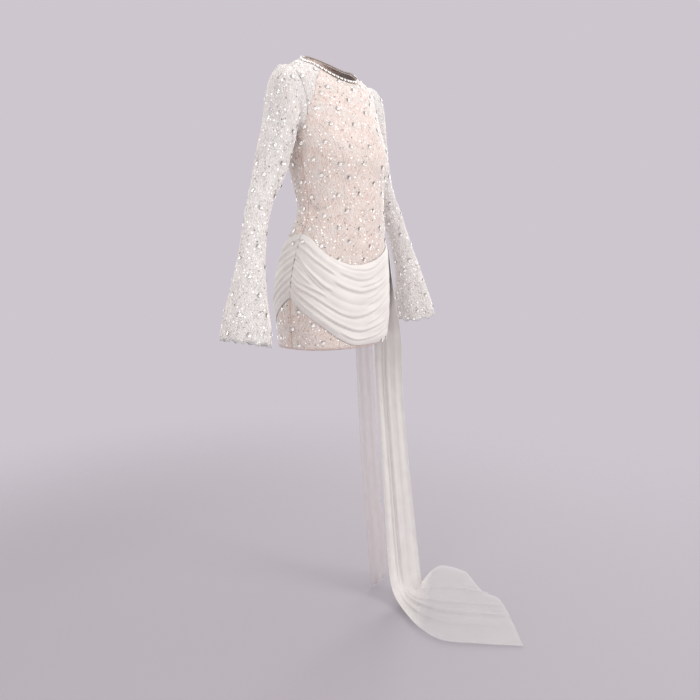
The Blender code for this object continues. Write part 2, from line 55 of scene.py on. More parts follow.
def table(kind, *rows):
    """Rows with named columns; all but the plain columns are lengths, given in millimetres."""
    plain = [name in PLAIN_COLUMNS for name in kind._fields]
    return tuple(kind(*(v if bare else v / 1000 for v, bare in zip(row, plain))) for row in rows)


SEAT_HEIGHT = 1.540
LACE_THICKNESS = 0.0010
CHIFFON_THICKNESS = 0.0006
SEAM_HALF_GAP = 0.00015
SEAM_ROLL = 0.0002
SEAM_ROLL_WIDTH = 0.0016

# The body's rings, from the hem up to the neckline.
SQUARENESS = 2.2
NECK_TILT_POWER = 1.15
BodyRing = namedtuple("BodyRing", "front_h side_h back_h half_width front_depth back_depth centre_y")
BODY = table(
    BodyRing,
    (857, 857, 852, 163, 118, 122, -10),
    (930, 930, 930, 168, 120, 124, -10),
    (1000, 1000, 1000, 168, 117, 123, -12),
    (1070, 1070, 1070, 159, 112, 117, -18),
    (1134, 1134, 1134, 143, 107, 108, -26),
    (1200, 1200, 1200, 128, 96, 92, -37),
    (1265, 1265, 1265, 132, 99, 98, -32),
    (1317, 1317, 1317, 139, 107, 110, -27),
    (1362, 1360, 1365, 145, 106, 112, -21),
    (1412, 1405, 1418, 149, 98, 106, -13),
    (1452, 1450, 1468, 151, 87, 94, -6),
    (1483, 1496, 1514, 152, 76, 82, -2),
    (1501, 1529, 1548, 146, 68, 73, 0),
    (1510, 1546, 1569, 124, 63, 66, 0),
    (1515, 1555, 1583, 99, 61, 62, 0),
    (1519, 1560, 1592, 75, 60, 60, 0),
)
NECK_STATION = len(BODY) - 1
BUST_RISE = 0.008
BUST_ANGLE = 36.0
BUST_ANGLE_SPREAD = 20.0
BUST_HEIGHT = 1.335
BUST_HEIGHT_SPREAD = 0.042

# Where the seams run on the body.
ARMHOLE_STATION = 10.43
ARMHOLE_HALF_STATIONS = 1.87
ARMHOLE_HALF_ANGLE = 26.0
ARMPIT_STATION = ARMHOLE_STATION - ARMHOLE_HALF_STATIONS
SeamPoint = namedtuple("SeamPoint", "station angle")
PRINCESS_SEAM = table(
    SeamPoint,
    (0, 34), (5, 36), (7, 38.5), (8, 43.5), (8.8, 54), (9.45, 67.5),
)
SIDE_FRONT_TOP = 9.42
LINING_EDGE = table(
    SeamPoint,
    (9.75, 65.8), (10, 59.5), (10.6, 51.5), (11.6, 46), (12.6, 45.5), (13.8, 52), (15, 63.8),
)
LINING_START = LINING_EDGE[0].station
ZIP_HALF_WIDTH = 0.005
ZIP_END_STATION = 2.4
ZIP_FULL_STATION = 2.8

# The left sleeve's rings, from the armhole down to the cuff.
SleeveRing = namedtuple("SleeveRing", "inner_x inner_h outer_x outer_h y half_depth")
SLEEVE = table(
    SleeveRing,
    (150, 1384.5, 160, 1538.5, -2, 41),
    (151, 1382, 171, 1538, -1, 44),
    (152, 1379, 183, 1531, 0, 46),
    (153, 1375, 193, 1515, 1, 47.5),
    (154.5, 1369, 199.5, 1488, 2, 48.5),
    (156.5, 1361, 205, 1453, 3, 49),
    (160, 1348, 214, 1408, 4, 48.5),
    (167, 1325, 231, 1358, 6, 46.5),
    (178, 1290, 246, 1314, 6, 43),
    (200, 1252, 262, 1280, 2, 35),
    (224.5, 1222, 278, 1249, -2, 30.5),
    (248, 1179, 300, 1205, -9, 28.5),
    (264, 1138, 316.5, 1160, -16, 28.5),
    (278.5, 1089, 335.5, 1110, -24, 30.5),
    (288, 1039, 356, 1060, -32, 36),
    (292, 988, 376, 1011, -37, 44),
    (292, 938, 395, 962, -42, 53.5),
    (297, 887, 411, 913, -47, 57.5),
)
CUFF_ROW = len(SLEEVE) - 1
FLARE_START = 12
ARMHOLE_EASE = 0.997
CUFF_WAVES = 5
CUFF_WAVE_DEPTH = 0.0030
CUFF_EDGE_DEPTH = 0.0030
CUFF_SCALLOPS = 22
CUFF_SCALLOP_DEPTH = 0.0035
CUFF_SCALLOP_ROWS = 0.6

# Soft creases of the worn lace: a pressed line with a fuller fold beside it.
Crease = namedtuple("Crease", "u v length width depth turn")
SLEEVE_CREASES = table(
    Crease,
    (20, 105, 70, 5, 1.6, 28),
    (-35, 150, 60, 6, 1.8, -20),
    (30, 200, 85, 7, 2.2, 34),
    (-10, 262, 70, 6, 2, -26),
    (45, 300, 60, 6, 2.2, 30),
    (-45, 322, 60, 5.5, 2, -24),
    (10, 352, 55, 6, 1.6, 22),
    (50, 400, 60, 6, 1.2, 40),
    (-50, 440, 70, 8, 1.2, -50),
    (20, 520, 120, 10, 1.8, 84),
    (-50, 540, 110, 11, 1.8, 95),
)
BODY_CREASES = table(
    Crease,
    (150, 352, 60, 8, 1.6, 14),
    (-155, 345, 70, 8, 1.8, -16),
    (165, 388, 50, 7, 1.4, 10),
    (-170, 392, 60, 7, 1.6, -12),
    (120, 560, 70, 9, 1.8, -38),
    (-125, 565, 75, 9, 2, 40),
    (85, 600, 60, 8, 1.2, -46),
    (-90, 606, 60, 8, 1.4, 48),
    (-195, 470, 80, 10, 1.4, 22),
    (200, 465, 70, 10, 1.2, -22),
    (290, 350, 80, 9, 1.8, 8),
    (-290, 356, 90, 9, 1.8, -6),
    (310, 310, 70, 8, 1.4, -8),
    (-300, 318, 60, 8, 1.4, 10),
    (270, 560, 70, 9, 1.6, 34),
    (-270, 566, 70, 9, 1.6, -34),
)
BODY_CREASE_SHARE = 0.45
CREASE_BEND = 0.9
CREASE_RIDGE_SHARE = 0.45
CREASE_RIDGE_PLACE = 2.2

# The swags' edges, and their creases as lines of height, in percent, through some angles.
SwagEdge = namedtuple("SwagEdge", "angle top_h bottom_h loft fold_depth")
FRONT_SWAG = table(
    SwagEdge,
    (-89.8, 1146, 988, 1, 3.6),
    (-76, 1135, 957, 1.6, 4.8),
    (-63, 1113, 936, 2.6, 5.8),
    (-49, 1092, 911, 3.6, 6.4),
    (-34, 1077, 884, 4.6, 6.4),
    (-18, 1068, 865, 5.2, 6),
    (0, 1074, 862, 5.4, 5.4),
    (20, 1092, 860, 5.6, 4.4),
    (38, 1112, 860, 5.6, 3),
    (56, 1128, 864, 4.2, 1.8),
    (72, 1137, 880, 2.2, 1.2),
    (89, 1140, 902, 1, 1),
)
BACK_SWAG = table(
    SwagEdge,
    (91, 1140, 902, 1, 1),
    (108, 1133, 893, 1.6, 1.4),
    (120, 1127, 882, 3, 3.4),
    (135, 1118, 874, 4.2, 5.4),
    (160, 1108, 868, 5, 6),
    (185, 1105, 878, 5.2, 6.4),
    (210, 1113, 898, 4.6, 6.4),
    (232, 1125, 922, 3.4, 6),
    (252, 1138, 955, 2, 5),
    (269.8, 1146, 988, 1, 3.6),
)
SWAG_CLEARANCE = 0.0011
SWAG_WALL = 0.0012
SWAG_FOLDS = 6.0
SWAG_SOFT_SHARE = 0.30
SWAG_END_GAP = 0.03
SWAG_EDGE_FADE = 12.0
FOLD_SHIFT = 0.14
FOLD_SHIFT_TURNS = 1.7
FOLD_SHIFT_START = 0.6
FOLD_LEAN = 0.02
FOLD_LEAN_DEGREES = 46.0
Gather = namedtuple("Gather", "angles percents width depth")
FRONT_GATHERS = table(
    Gather,
    ((-55, -37, -15, -2, 15, 26), (99, 95, 93, 91, 94, 96), 3.4, 2.2),
    ((-95, -86, -71, -58, -47, -38), (79, 77, 77, 79, 79, 78), 3.6, 3),
    ((-38, -24, -14, -2, 10, 22), (83, 82, 80, 79, 83, 87), 3.4, 2.2),
    ((-95, -86, -76, -66), (90, 88, 87, 87), 2.6, 1.8),
    ((-95, -85, -74, -62, -51, -40), (65, 63, 59, 57, 55, 56), 3.6, 3),
    ((-95, -81, -68, -56, -46), (60, 58.5, 54, 51, 50), 2.4, 2.2),
    ((-44, -32, -20, -9, 3, 17, 28), (69, 67, 66, 64, 65, 67, 71), 4, 2.6),
    ((-17, -3, 14, 26), (72, 72, 74, 78), 2.6, 1.6),
    ((-95, -86, -76, -64), (47, 46, 45, 45), 3, 2),
    ((-95, -83, -69, -55, -46), (34, 33.5, 38, 43, 44), 2.6, 2.2),
    ((-95, -84, -70, -55, -41, -30, -15, -2, 18, 30), (24, 24, 29, 32, 32, 32, 34, 37, 46, 50), 4, 3.2),
    ((-8, 3, 16, 26), (55, 58, 63, 66), 2.4, 1.8),
    ((-8, 3, 17, 27), (47, 50, 56, 60), 2.4, 1.8),
    ((-8, 3, 18, 28), (24, 28, 34, 38), 2.6, 1.8),
    ((-95, -83, -70, -57, -44, -32, -19, -6, 10, 24), (17, 17, 17, 16, 16, 17, 17, 17, 21, 25), 3.6, 3),
    ((-95, -84, -74, -62), (9, 9, 8, 7), 2.8, 1.8),
    ((-38, -25, -12, -1, 16, 28), (8, 6, 6, 7, 11, 15), 3, 2),
)
BACK_GATHERS = table(
    Gather,
    ((275, 262, 245, 225, 205), (90, 86, 83, 84, 86), 3.2, 2.4),
    ((275, 262, 245, 215, 185, 150), (78, 73, 70, 72, 75, 76), 3.8, 3),
    ((275, 264, 250, 232), (66, 63, 60, 59), 2.8, 2.2),
    ((275, 262, 245, 215, 180, 145), (55, 50, 46, 47, 52, 56), 4, 3.2),
    ((275, 264, 250, 230), (43, 40, 36, 34), 2.8, 2.2),
    ((275, 262, 242, 212, 180, 150, 122), (32, 27, 24, 26, 31, 36, 42), 3.8, 3),
    ((275, 262, 246, 220), (19, 15, 13, 12), 3.2, 2.4),
    ((200, 178, 150, 125), (88, 86, 87, 91), 3.4, 2.2),
    ((196, 172, 148, 124), (63, 64, 66, 72), 3.2, 2.2),
    ((215, 190, 160, 130), (13, 15, 19, 26), 3.6, 2.4),
)
GATHER_FADE = 9.0
GATHER_RIDGE_SHARE = 0.75
GATHER_RIDGE_PLACE = 1.9
GATHER_RIDGE_WIDTH = 1.5
GATHER_SEAMS = (-90.0, 270.0)
GATHER_SEAM_DIP = 0.0012
GATHER_SEAM_REACH = 1.1

# The trains: rows sewn to the swags, rows that fall from a to b, and rows that lie on the floor.
TrainHead = namedtuple("TrainHead", "a_angle b_angle drop lift fold")
TrainRow = namedtuple("TrainRow", "a_x a_y b_x b_y h bulge fold lie")
TRAIN_FRONT_HEAD = table(
    TrainHead,
    (99, 39, 18, 0, 0.6),
    (98, 40, 45, 0.6, 1.4),
    (97, 43, 85, 2, 2.6),
)
TRAIN_FRONT = table(
    TrainRow,
    (186, -12, 156, -106, 960, 6, 4, 0),
    (184, -12, 200, -98, 850, 2, 8, 0),
    (188, -18, 224, -88, 700, 0, 10.5, 0),
    (200, -26, 246, -92, 520, 0, 11.5, 0),
    (212, -33, 272, -97, 340, 0, 12, 0),
    (222, -39, 300, -100, 180, 0, 12, 0),
    (226, -50, 322, -100, 70, 0, 12, 0.15),
    (214, -78, 352, -90, 20, 0, 11, 0.7),
    (184, -135, 396, -68, 4, 0, 8, 1),
    (144, -215, 464, -56, 4, 0, 7, 1),
    (135, -295, 516, -62, 4, -10, 6, 1),
    (188, -385, 534, -104, 4, -22, 5, 1),
    (258, -484, 536, -151, 3, 0, 3, 1),
)
TRAIN_BACK_HEAD = table(
    TrainHead,
    (126, 101.5, 18, -0.4, 0.6),
    (128, 100.5, 45, 1, 1.6),
    (130, 99.5, 85, 4, 3),
)
TRAIN_BACK = table(
    TrainRow,
    (178, 56, 195, 8, 940, 3, 5, 0),
    (184, 56, 208, 11, 800, 0, 6, 0),
    (202, 54, 245, 18, 520, 0, 7.5, 0),
    (228, 50, 302, 34, 250, 0, 8.5, 0),
    (250, 44, 362, 50, 6, 0, 8.5, 0),
)
FoldLine = namedtuple("FoldLine", "share swing")
TRAIN_FRONT_FOLDS = table(
    FoldLine,
    (0, 0.3), (0.09, -0.45), (0.18, -0.1), (0.25, 0.85), (0.3, 0.1), (0.36, 0.95), (0.43, -0.7),
    (0.6, -0.35), (0.76, -0.6), (0.88, -0.15), (1, -0.5),
)
TRAIN_BACK_FOLDS = table(
    FoldLine,
    (0, -0.4), (0.18, 0.35), (0.36, -0.7), (0.58, 0.3), (0.78, -0.45), (1, 0.2),
)
EndCut = namedtuple("EndCut", "share out")
TRAIN_FRONT_END = table(
    EndCut,
    (0, 0), (0.24, -19), (0.58, -38), (0.68, -6), (1, 0),
)
TRAIN_BACK_END = table(
    EndCut,
    (0, 0), (1, 0),
)
FloorCrease = namedtuple("FloorCrease", "share spread height")
FLOOR_CREASES = table(
    FloorCrease,
    (0.2, 0.012, 4), (0.33, 0.01, 6), (0.47, 0.012, 7), (0.66, 0.014, 6),
)
TRAIN_RIPPLE = 0.05
TRAIN_RIPPLES = 7.5
TRAIN_RIPPLE_SHIFT = 0.11
TRAIN_FOLD_SHARE = 0.40
TRAIN_PLAN_WIDTH = 0.18

# How finely each piece of cloth is divided, in rows and columns.
FRONT_GRID = (121, 56)
SIDE_GRID = (91, 30)
BACK_GRID = (121, 48)
ZIP_GRID = (91, 6)
YOKE_RAYS = 91
YOKE_EDGE_RAYS = 34
YOKE_RINGS = 29
SLEEVE_COLUMNS = 96
SLEEVE_HEAD_ROWS = 36
SLEEVE_LOWER_ROWS = 72
SLEEVE_HEAD_END = 6
SWAG_GRID = (150, 150)
TRAIN_FRONT_GRID = (170, 96)
TRAIN_BACK_GRID = (110, 72)

# The neckline's band and its row of stones.
TRIM_HALF_HEIGHT = 0.0040
TRIM_HALF_THICKNESS = 0.0018
CHAIN_HALF_HEIGHT = 0.0020
CHAIN_DROP = 0.0014
BAND_STEPS = 240
BAND_SIDES = 12
NECK_STONES = 84
NECK_STONE_RADIUS = 0.0027
STONE_AIM_UP = 0.25

# The lace's cords, blossoms and leaves.
CORD_SPACING = 0.0052
CORD_WIDTH = 0.0023
CORD_HEIGHT = 0.0010
CORD_SINK = 0.0003
CORD_STEP = 0.0042
CORD_END_SHARE = 0.35
SEAM_CLEAR = 0.0015
SWAG_CLEAR = 0.004
STREAM_SWAY = 0.0085
STREAM_SWAY_RUN = 0.098
STREAM_PINCH = 0.0016
STREAM_PINCH_RUN = 0.024
FLORET_COLUMN = 0.0350
FLORET_ROW = 0.0820
FLORET_DRIFT = 0.0100
BLOSSOM_RADIUS = 0.0105
BLOSSOM_PETALS = 5
LEAF_LENGTH = 0.0140
LEAF_WIDTH = 0.0052
LEAF_LEAN = 0.5
BODY_LEAVES = 500
SLEEVE_LEAVES = 160

# Cut stones, which sit in florets, round the neckline and at the swags' gathers.
STONE_SIDES = 6
STONE_RADIUS = 0.0017
# Painted light: facets and stones turned towards this side are painted bright, those turned away painted
# dark.
STONE_LIT_TURN = math.radians(-45)
STONE_RINGS = ((0.95, -0.3), (1.0, 0.35), (0.5, 0.95))
FLORET_RADIUS = 0.0037
FLORET_STONES = 6
FLORET_LIFT = 0.0010
GATHER_STONES = ((-84.0, 0.90), (263.0, 0.86), (30.0, 0.035), (18.0, 0.02))
GATHER_STONE_LIFT = 0.0075
GATHER_STONE_SIZE = 0.85

# Sequins, scattered over the open lace.
SEQUIN_RADIUS = 0.0022
SEQUIN_DENSITY = 16000.0
SEQUIN_GAP = 0.0053
SEQUIN_TILT = 0.45
SEQUIN_LIFT = 0.0011
SEQUIN_DEPTH = 0.0003
SEQUIN_TOP_SHARE = 0.7

# The photograph's camera, and the studio.
CAMERA_PLACE = (-1.385, -1.161, 1.142)
CAMERA_AHEAD = (0.785, 0.620)
FOCAL_SHARE = 670 / 700
CAMERA_DROP = 115 / 670
SENSOR_WIDTH = 36.0
FLOOR_REACH = 8.0
BACKDROP = "#CDC6CE"
STUDIO_LIGHTS = (
    ("key_left_front", (-3.0, -0.6, 1.3), (0, 0, -0.4), (1.4, 1.4), 14, "#FFFDFB"),
    ("key_right_front", (0.9, -3.1, 1.1), (0, 0, -0.4), (1.2, 1.6), 40, "#FFFDFB"),
    ("fill_left_side", (3.0, 0.6, 0.6), (0, 0, -0.6), (1.6, 1.6), 38, "#FFFFFF"),
    ("top", (0.0, 0.0, 2.6), (0, 0, -0.5), (2.4, 2.4), 22, "#FFFFFF"),
)


def smooth(values, station):
    """A Catmull-Rom curve through values that stand one station apart."""
    values = np.asarray(values, float)
    first = 2 * values[0] - values[1]
    last = 2 * values[-1] - values[-2]
    padded = np.concatenate([[first], values, [last]])
    low = np.clip(np.floor(station).astype(int), 0, len(values) - 2)
    f = station - low
    p0, p1, p2, p3 = (padded[low + k] for k in range(4))
    return p1 + 0.5 * f * (p2 - p0 + f * (2 * p0 - 5 * p1 + 4 * p2 - p3 + f * (3 * (p1 - p2) + p3 - p0)))


def column(rows, name):
    """One named column of a table."""
    return [getattr(row, name) for row in rows]


def along(rows, name, key, where):
    """A column of a table, smooth in another column that grows down the table."""
    station = np.interp(where, column(rows, key), range(len(rows)))
    return smooth(column(rows, name), station)


def body_point(angle, station):
    """The body surface at an angle in degrees and a station."""
    angle, station = np.broadcast_arrays(np.asarray(angle, float), np.asarray(station, float))
    side = np.sin(np.radians(angle))
    ahead = np.cos(np.radians(angle))
    ring = {name: smooth(column(BODY, name), station) for name in BodyRing._fields}
    depth = np.where(ahead >= 0, ring["front_depth"], ring["back_depth"])
    x = ring["half_width"] * np.sign(side) * np.abs(side) ** (2 / SQUARENESS)
    y = ring["centre_y"] - depth * np.sign(ahead) * np.abs(ahead) ** (2 / SQUARENESS)
    end_h = np.where(ahead >= 0, ring["front_h"], ring["back_h"])
    z = ring["side_h"] + (end_h - ring["side_h"]) * np.abs(ahead) ** NECK_TILT_POWER
    turn = (np.abs((angle + 180) % 360 - 180) - BUST_ANGLE) / BUST_ANGLE_SPREAD
    rise = (z - BUST_HEIGHT) / BUST_HEIGHT_SPREAD
    y = y - BUST_RISE * np.exp(-turn ** 2 - rise ** 2)
    return np.stack([x, y, z - SEAT_HEIGHT], axis=-1)


def unit(vectors):
    return vectors / np.maximum(np.linalg.norm(vectors, axis=-1, keepdims=True), 1e-9)


def body_normal(angle, station):
    """The body surface's outward unit normal."""
    step_angle = 0.5
    step_station = 0.02
    round_it = body_point(angle + step_angle, station) - body_point(angle - step_angle, station)
    up_it = body_point(angle, station + step_station) - body_point(angle, station - step_station)
    return unit(np.cross(round_it, up_it))


def grid_normals(grid):
    """Unit normals of a grid from its neighbours."""
    return unit(np.cross(np.gradient(grid, axis=1), np.gradient(grid, axis=0)))


def station_at(height):
    """The station of a height below the armpits, where the rings lie level."""
    stations = np.linspace(0, ARMPIT_STATION, 200)
    return np.interp(height, smooth(column(BODY, "side_h"), stations), stations)


def armhole_turn(station):
    """How far the armhole's edge lies from the side seam, in degrees."""
    level = np.clip((station - ARMHOLE_STATION) / ARMHOLE_HALF_STATIONS, -1, 1)
    return ARMHOLE_HALF_ANGLE * np.sqrt(1 - level ** 2)


def seam_angle(points, station):
    return along(points, "angle", "station", station)


def side_edge(station):
    """The outer edge of the lined front: side seam, armhole, then the edge of the lining."""
    station = np.asarray(station, float)
    on_armhole = (station > ARMPIT_STATION) & (station <= LINING_START)
    edge = np.where(on_armhole, 90 - armhole_turn(station), 90.0)
    return np.where(station > LINING_START, seam_angle(LINING_EDGE, station), edge)


def princess_edge(station):
    return seam_angle(PRINCESS_SEAM, np.minimum(station, PRINCESS_SEAM[-1].station))


def front_edge(station):
    below = station <= PRINCESS_SEAM[-1].station
    return np.where(below, princess_edge(station), side_edge(station))


def zip_edge(station):
    """The angle of the back panels' inner edge, which makes room for the zip tape."""
    room = np.interp(station, (ZIP_END_STATION, ZIP_FULL_STATION), (0.0, ZIP_HALF_WIDTH))
    return 180 - np.degrees(room / smooth(column(BODY, "half_width"), station))


PLAN_STATIONS = np.linspace(0, NECK_STATION, 301)
PLAN_ANGLES = np.linspace(0, 360, 181)
plan_rings = body_point(PLAN_ANGLES[None, :], PLAN_STATIONS[:, None])
GIRTHS = np.linalg.norm(np.diff(plan_rings, axis=1), axis=-1).sum(axis=1)
plan_steps = np.linalg.norm(np.diff(plan_rings, axis=0), axis=-1).mean(axis=1)
RISES = np.concatenate([[0], np.cumsum(plan_steps)])


def body_plan(angle, station):
    """Where a point of the body surface lies on the flat plan of the lace."""
    u = np.asarray(angle) / 360 * np.interp(station, PLAN_STATIONS, GIRTHS)
    return u, np.interp(station, PLAN_STATIONS, RISES)


def body_from_plan(u, v):
    station = np.interp(v, RISES, PLAN_STATIONS)
    return np.asarray(u) * 360 / np.interp(station, PLAN_STATIONS, GIRTHS), station


def sleeve_point(share, row):
    """The left sleeve's surface at a share of its girth from the underarm seam, and a row down it."""
    share, row = np.broadcast_arrays(np.asarray(share, float), np.asarray(row, float))
    turn = np.radians(-90 + 360 * share)
    down = np.clip(row, 0, CUFF_ROW)
    ring = {name: smooth(column(SLEEVE, name), down) for name in SleeveRing._fields}
    flare = np.clip((row - FLARE_START) / (CUFF_ROW - FLARE_START), 0, None)
    swell = 1 + flare * CUFF_WAVE_DEPTH / ring["half_depth"] * np.cos(CUFF_WAVES * turn)
    across = np.sin(turn) * swell / 2
    x = (ring["inner_x"] + ring["outer_x"]) / 2 + (ring["outer_x"] - ring["inner_x"]) * across
    z = (ring["inner_h"] + ring["outer_h"]) / 2 + (ring["outer_h"] - ring["inner_h"]) * across
    y = ring["y"] - ring["half_depth"] * np.cos(turn) * swell
    z = z + CUFF_EDGE_DEPTH * np.clip(row - CUFF_ROW + 1, 0, 1) * np.cos(2 * CUFF_WAVES * turn)
    point = np.stack([x, y, z - SEAT_HEIGHT], axis=-1)
    angle = 90 - ARMHOLE_HALF_ANGLE * ARMHOLE_EASE * np.cos(turn)
    station = ARMHOLE_STATION + ARMHOLE_HALF_STATIONS * ARMHOLE_EASE * np.sin(turn)
    seam = body_point(angle, station)
    near_seam = np.clip(-row, 0, 1)[..., None]
    return point + (seam - point) * near_seam


SLEEVE_ROWS = np.linspace(-1, CUFF_ROW, 181)
SLEEVE_SHARES = np.linspace(0, 1, 97)
sleeve_rings = sleeve_point(SLEEVE_SHARES[None, :], SLEEVE_ROWS[:, None])
SLEEVE_GIRTHS = np.linalg.norm(np.diff(sleeve_rings, axis=1), axis=-1).sum(axis=1)
sleeve_steps = np.linalg.norm(np.diff(sleeve_rings, axis=0), axis=-1).mean(axis=1)
SLEEVE_RUNS = np.concatenate([[0], np.cumsum(sleeve_steps)])


def sleeve_plan(share, row):
    u = (np.asarray(share) - 0.5) * np.interp(row, SLEEVE_ROWS, SLEEVE_GIRTHS)
    return u, np.interp(row, SLEEVE_ROWS, SLEEVE_RUNS)


def sleeve_from_plan(u, v):
    row = np.interp(v, SLEEVE_RUNS, SLEEVE_ROWS)
    return np.asarray(u) / np.interp(row, SLEEVE_ROWS, SLEEVE_GIRTHS) + 0.5, row


def sleeve_normal(share, row):
    step_share = 0.004
    step_row = 0.03
    round_it = sleeve_point(share + step_share, row) - sleeve_point(share - step_share, row)
    up_it = sleeve_point(share, row - step_row) - sleeve_point(share, row + step_row)
    return unit(np.cross(round_it, up_it))


def crease_depth(creases, u, v):
    """How far soft creases press the cloth in at a place on the plan."""
    depth = np.zeros(np.broadcast(u, v).shape)
    for c in creases:
        run_u = math.cos(math.radians(c.turn))
        run_v = math.sin(math.radians(c.turn))
        ahead = (u - c.u) * run_u + (v - c.v) * run_v
        aside = (v - c.v) * run_u - (u - c.u) * run_v
        bend = aside - CREASE_BEND * ahead ** 2 / c.length
        beside = CREASE_RIDGE_SHARE * np.exp(-((bend - CREASE_RIDGE_PLACE * c.width) / c.width) ** 2)
        depth += c.depth * (np.exp(-(bend / c.width) ** 2) - beside) * np.exp(-(2 * ahead / c.length) ** 4)
    return depth


def body_cloth(angle, station, lift=0.0):
    """A point of the worn lace on the body, creases included, and its normal."""
    u, v = body_plan(angle, station)
    normal = body_normal(angle, station)
    out = lift - BODY_CREASE_SHARE * crease_depth(BODY_CREASES, u, v)
    return body_point(angle, station) + out[..., None] * normal, normal


def sleeve_cloth(share, row, lift=0.0):
    u, v = sleeve_plan(share, row)
    normal = sleeve_normal(share, row)
    out = lift - crease_depth(SLEEVE_CREASES, u, v) * np.clip(row + 1, 0, 1)
    return sleeve_point(share, row) + out[..., None] * normal, normal


def linear(hex_colour):
    """An sRGB hex colour as linear RGBA."""
    parts = [int(hex_colour[k:k + 2], 16) / 255 for k in (1, 3, 5)]
    return tuple(c / 12.92 if c <= 0.04045 else ((c + 0.055) / 1.055) ** 2.4 for c in parts) + (1.0,)


def fill(tree, node, **links):
    """Sets a node's inputs, named or counted as i0, i1, to values or to other nodes' outputs."""
    for key, value in links.items():
        counted = key[0] == "i" and key[1:].isdigit()
        socket = node.inputs[int(key[1:]) if counted else key.replace("_", " ")]
        if isinstance(value, bpy.types.NodeSocket):
            tree.links.new(value, socket)
        else:
            socket.default_value = value
    return node


def add_node(tree, kind, settings=None, stops=(), **links):
    """Adds a node with its settings, the places and hex colours of a ramp's stops, and its links."""
    made = tree.nodes.new(kind)
    for key, value in (settings or {}).items():
        setattr(made, key, value)
    if stops:
        points = made.color_ramp.elements
        while len(points) < len(stops):
            points.new(1.0)
        for point, (place, colour) in zip(points, stops):
            point.position = place
            point.color = linear(colour)
    return fill(tree, made, **links)


def new_material(name):
    made = bpy.data.materials.new(name)
    made.use_nodes = True
    tree = made.node_tree
    return made, tree, tree.nodes["Principled BSDF"]


def plan_millimetres(tree):
    """The cloth's own plan, in millimetres."""
    plan = add_node(tree, "ShaderNodeUVMap", {"uv_map": "plan"})
    return add_node(tree, "ShaderNodeMapping", Vector=plan.outputs[0], Scale=(1000, 1000, 1000)).outputs[0]


def lace_threads(tree, plan, mesh_mm, sprig_mm):
    """Thread cover of lace: a net of small cells and denser embroidered sprigs, from 0 to 1."""
    net = add_node(tree, "ShaderNodeTexVoronoi", {"feature": "DISTANCE_TO_EDGE"},
                   Vector=plan, Scale=1 / mesh_mm, Randomness=0.55)
    thread = add_node(tree, "ShaderNodeMapRange", Value=net.outputs["Distance"],
                      i1=0.10, i2=0.26, i3=1.0, i4=0.0)
    swirl = add_node(tree, "ShaderNodeTexNoise", Vector=plan, Scale=0.6 / sprig_mm,
                     Detail=2.0, Distortion=1.6)
    sprig = add_node(tree, "ShaderNodeMapRange", Value=swirl.outputs["Fac"], i1=0.46, i2=0.56, i3=0.0, i4=1.0)
    satin = add_node(tree, "ShaderNodeTexWave", {"wave_profile": "SIN"}, Vector=plan, Scale=0.16,
                     Distortion=9.0, Detail=1.0, Detail_Scale=0.25)
    filled = add_node(tree, "ShaderNodeMath", {"operation": "MULTIPLY", "use_clamp": True},
                      i0=sprig.outputs[0], i1=satin.outputs["Fac"])
    return add_node(tree, "ShaderNodeMath", {"operation": "MAXIMUM", "use_clamp": True},
                    i0=thread.outputs[0], i1=filled.outputs[0]).outputs[0]


def corded_lace_over_lining():
    """Ivory corded lace laid on blush satin: pale threads, warm slits between them."""
    made, tree, shader = new_material("corded_lace_over_blush_satin")
    plan = plan_millimetres(tree)
    cover = lace_threads(tree, plan, 2.8, 9.0)
    tone = add_node(tree, "ShaderNodeTexNoise", Vector=plan, Scale=0.05, Detail=2.0).outputs["Fac"]
    satin = add_node(tree, "ShaderNodeValToRGB", stops=((0.3, "#CC9B87"), (0.7, "#DBB3A2")), i0=tone)
    thread = add_node(tree, "ShaderNodeValToRGB", stops=((0.3, "#E6DCD8"), (0.7, "#F0E9E6")), i0=tone)
    share = add_node(tree, "ShaderNodeMath", {"operation": "MULTIPLY", "use_clamp": True}, i0=cover, i1=0.8)
    colour = add_node(tree, "ShaderNodeMix", {"data_type": "RGBA"},
                      i0=share.outputs[0], i6=satin.outputs[0], i7=thread.outputs[0])
    bump = add_node(tree, "ShaderNodeBump", Strength=0.5, Distance=0.0006, Height=cover)
    fill(tree, shader, Base_Color=colour.outputs[2], Normal=bump.outputs[0], Roughness=0.62,
         Sheen_Weight=0.15)
    return made


def sheer_lace(name, least_cover, colour_low, colour_high, hem_cover=None):
    """Unlined ivory lace: threads stand before open net, so what lies behind shows through."""
    made, tree, shader = new_material(name)
    plan = plan_millimetres(tree)
    cover = lace_threads(tree, plan, 3.0, 10.0)
    tone = add_node(tree, "ShaderNodeTexNoise", Vector=plan, Scale=0.06, Detail=2.0)
    thread = add_node(tree, "ShaderNodeValToRGB", stops=((0.3, colour_low), (0.7, colour_high)),
                      i0=tone.outputs["Fac"])
    veil = add_node(tree, "ShaderNodeMapRange", Value=cover, i1=0.0, i2=1.0, i3=least_cover, i4=1.0)
    if hem_cover is not None:
        run = add_node(tree, "ShaderNodeSeparateXYZ", i0=plan)
        least = add_node(tree, "ShaderNodeMapRange", Value=run.outputs[1], i1=480.0, i2=620.0,
                         i3=least_cover, i4=hem_cover)
        fill(tree, veil, i3=least.outputs[0])
    bump = add_node(tree, "ShaderNodeBump", Strength=0.4, Distance=0.0005, Height=cover)
    fill(tree, shader, Base_Color=thread.outputs[0], Alpha=veil.outputs[0], Normal=bump.outputs[0],
         Roughness=0.65, Sheen_Weight=0.15)
    return made


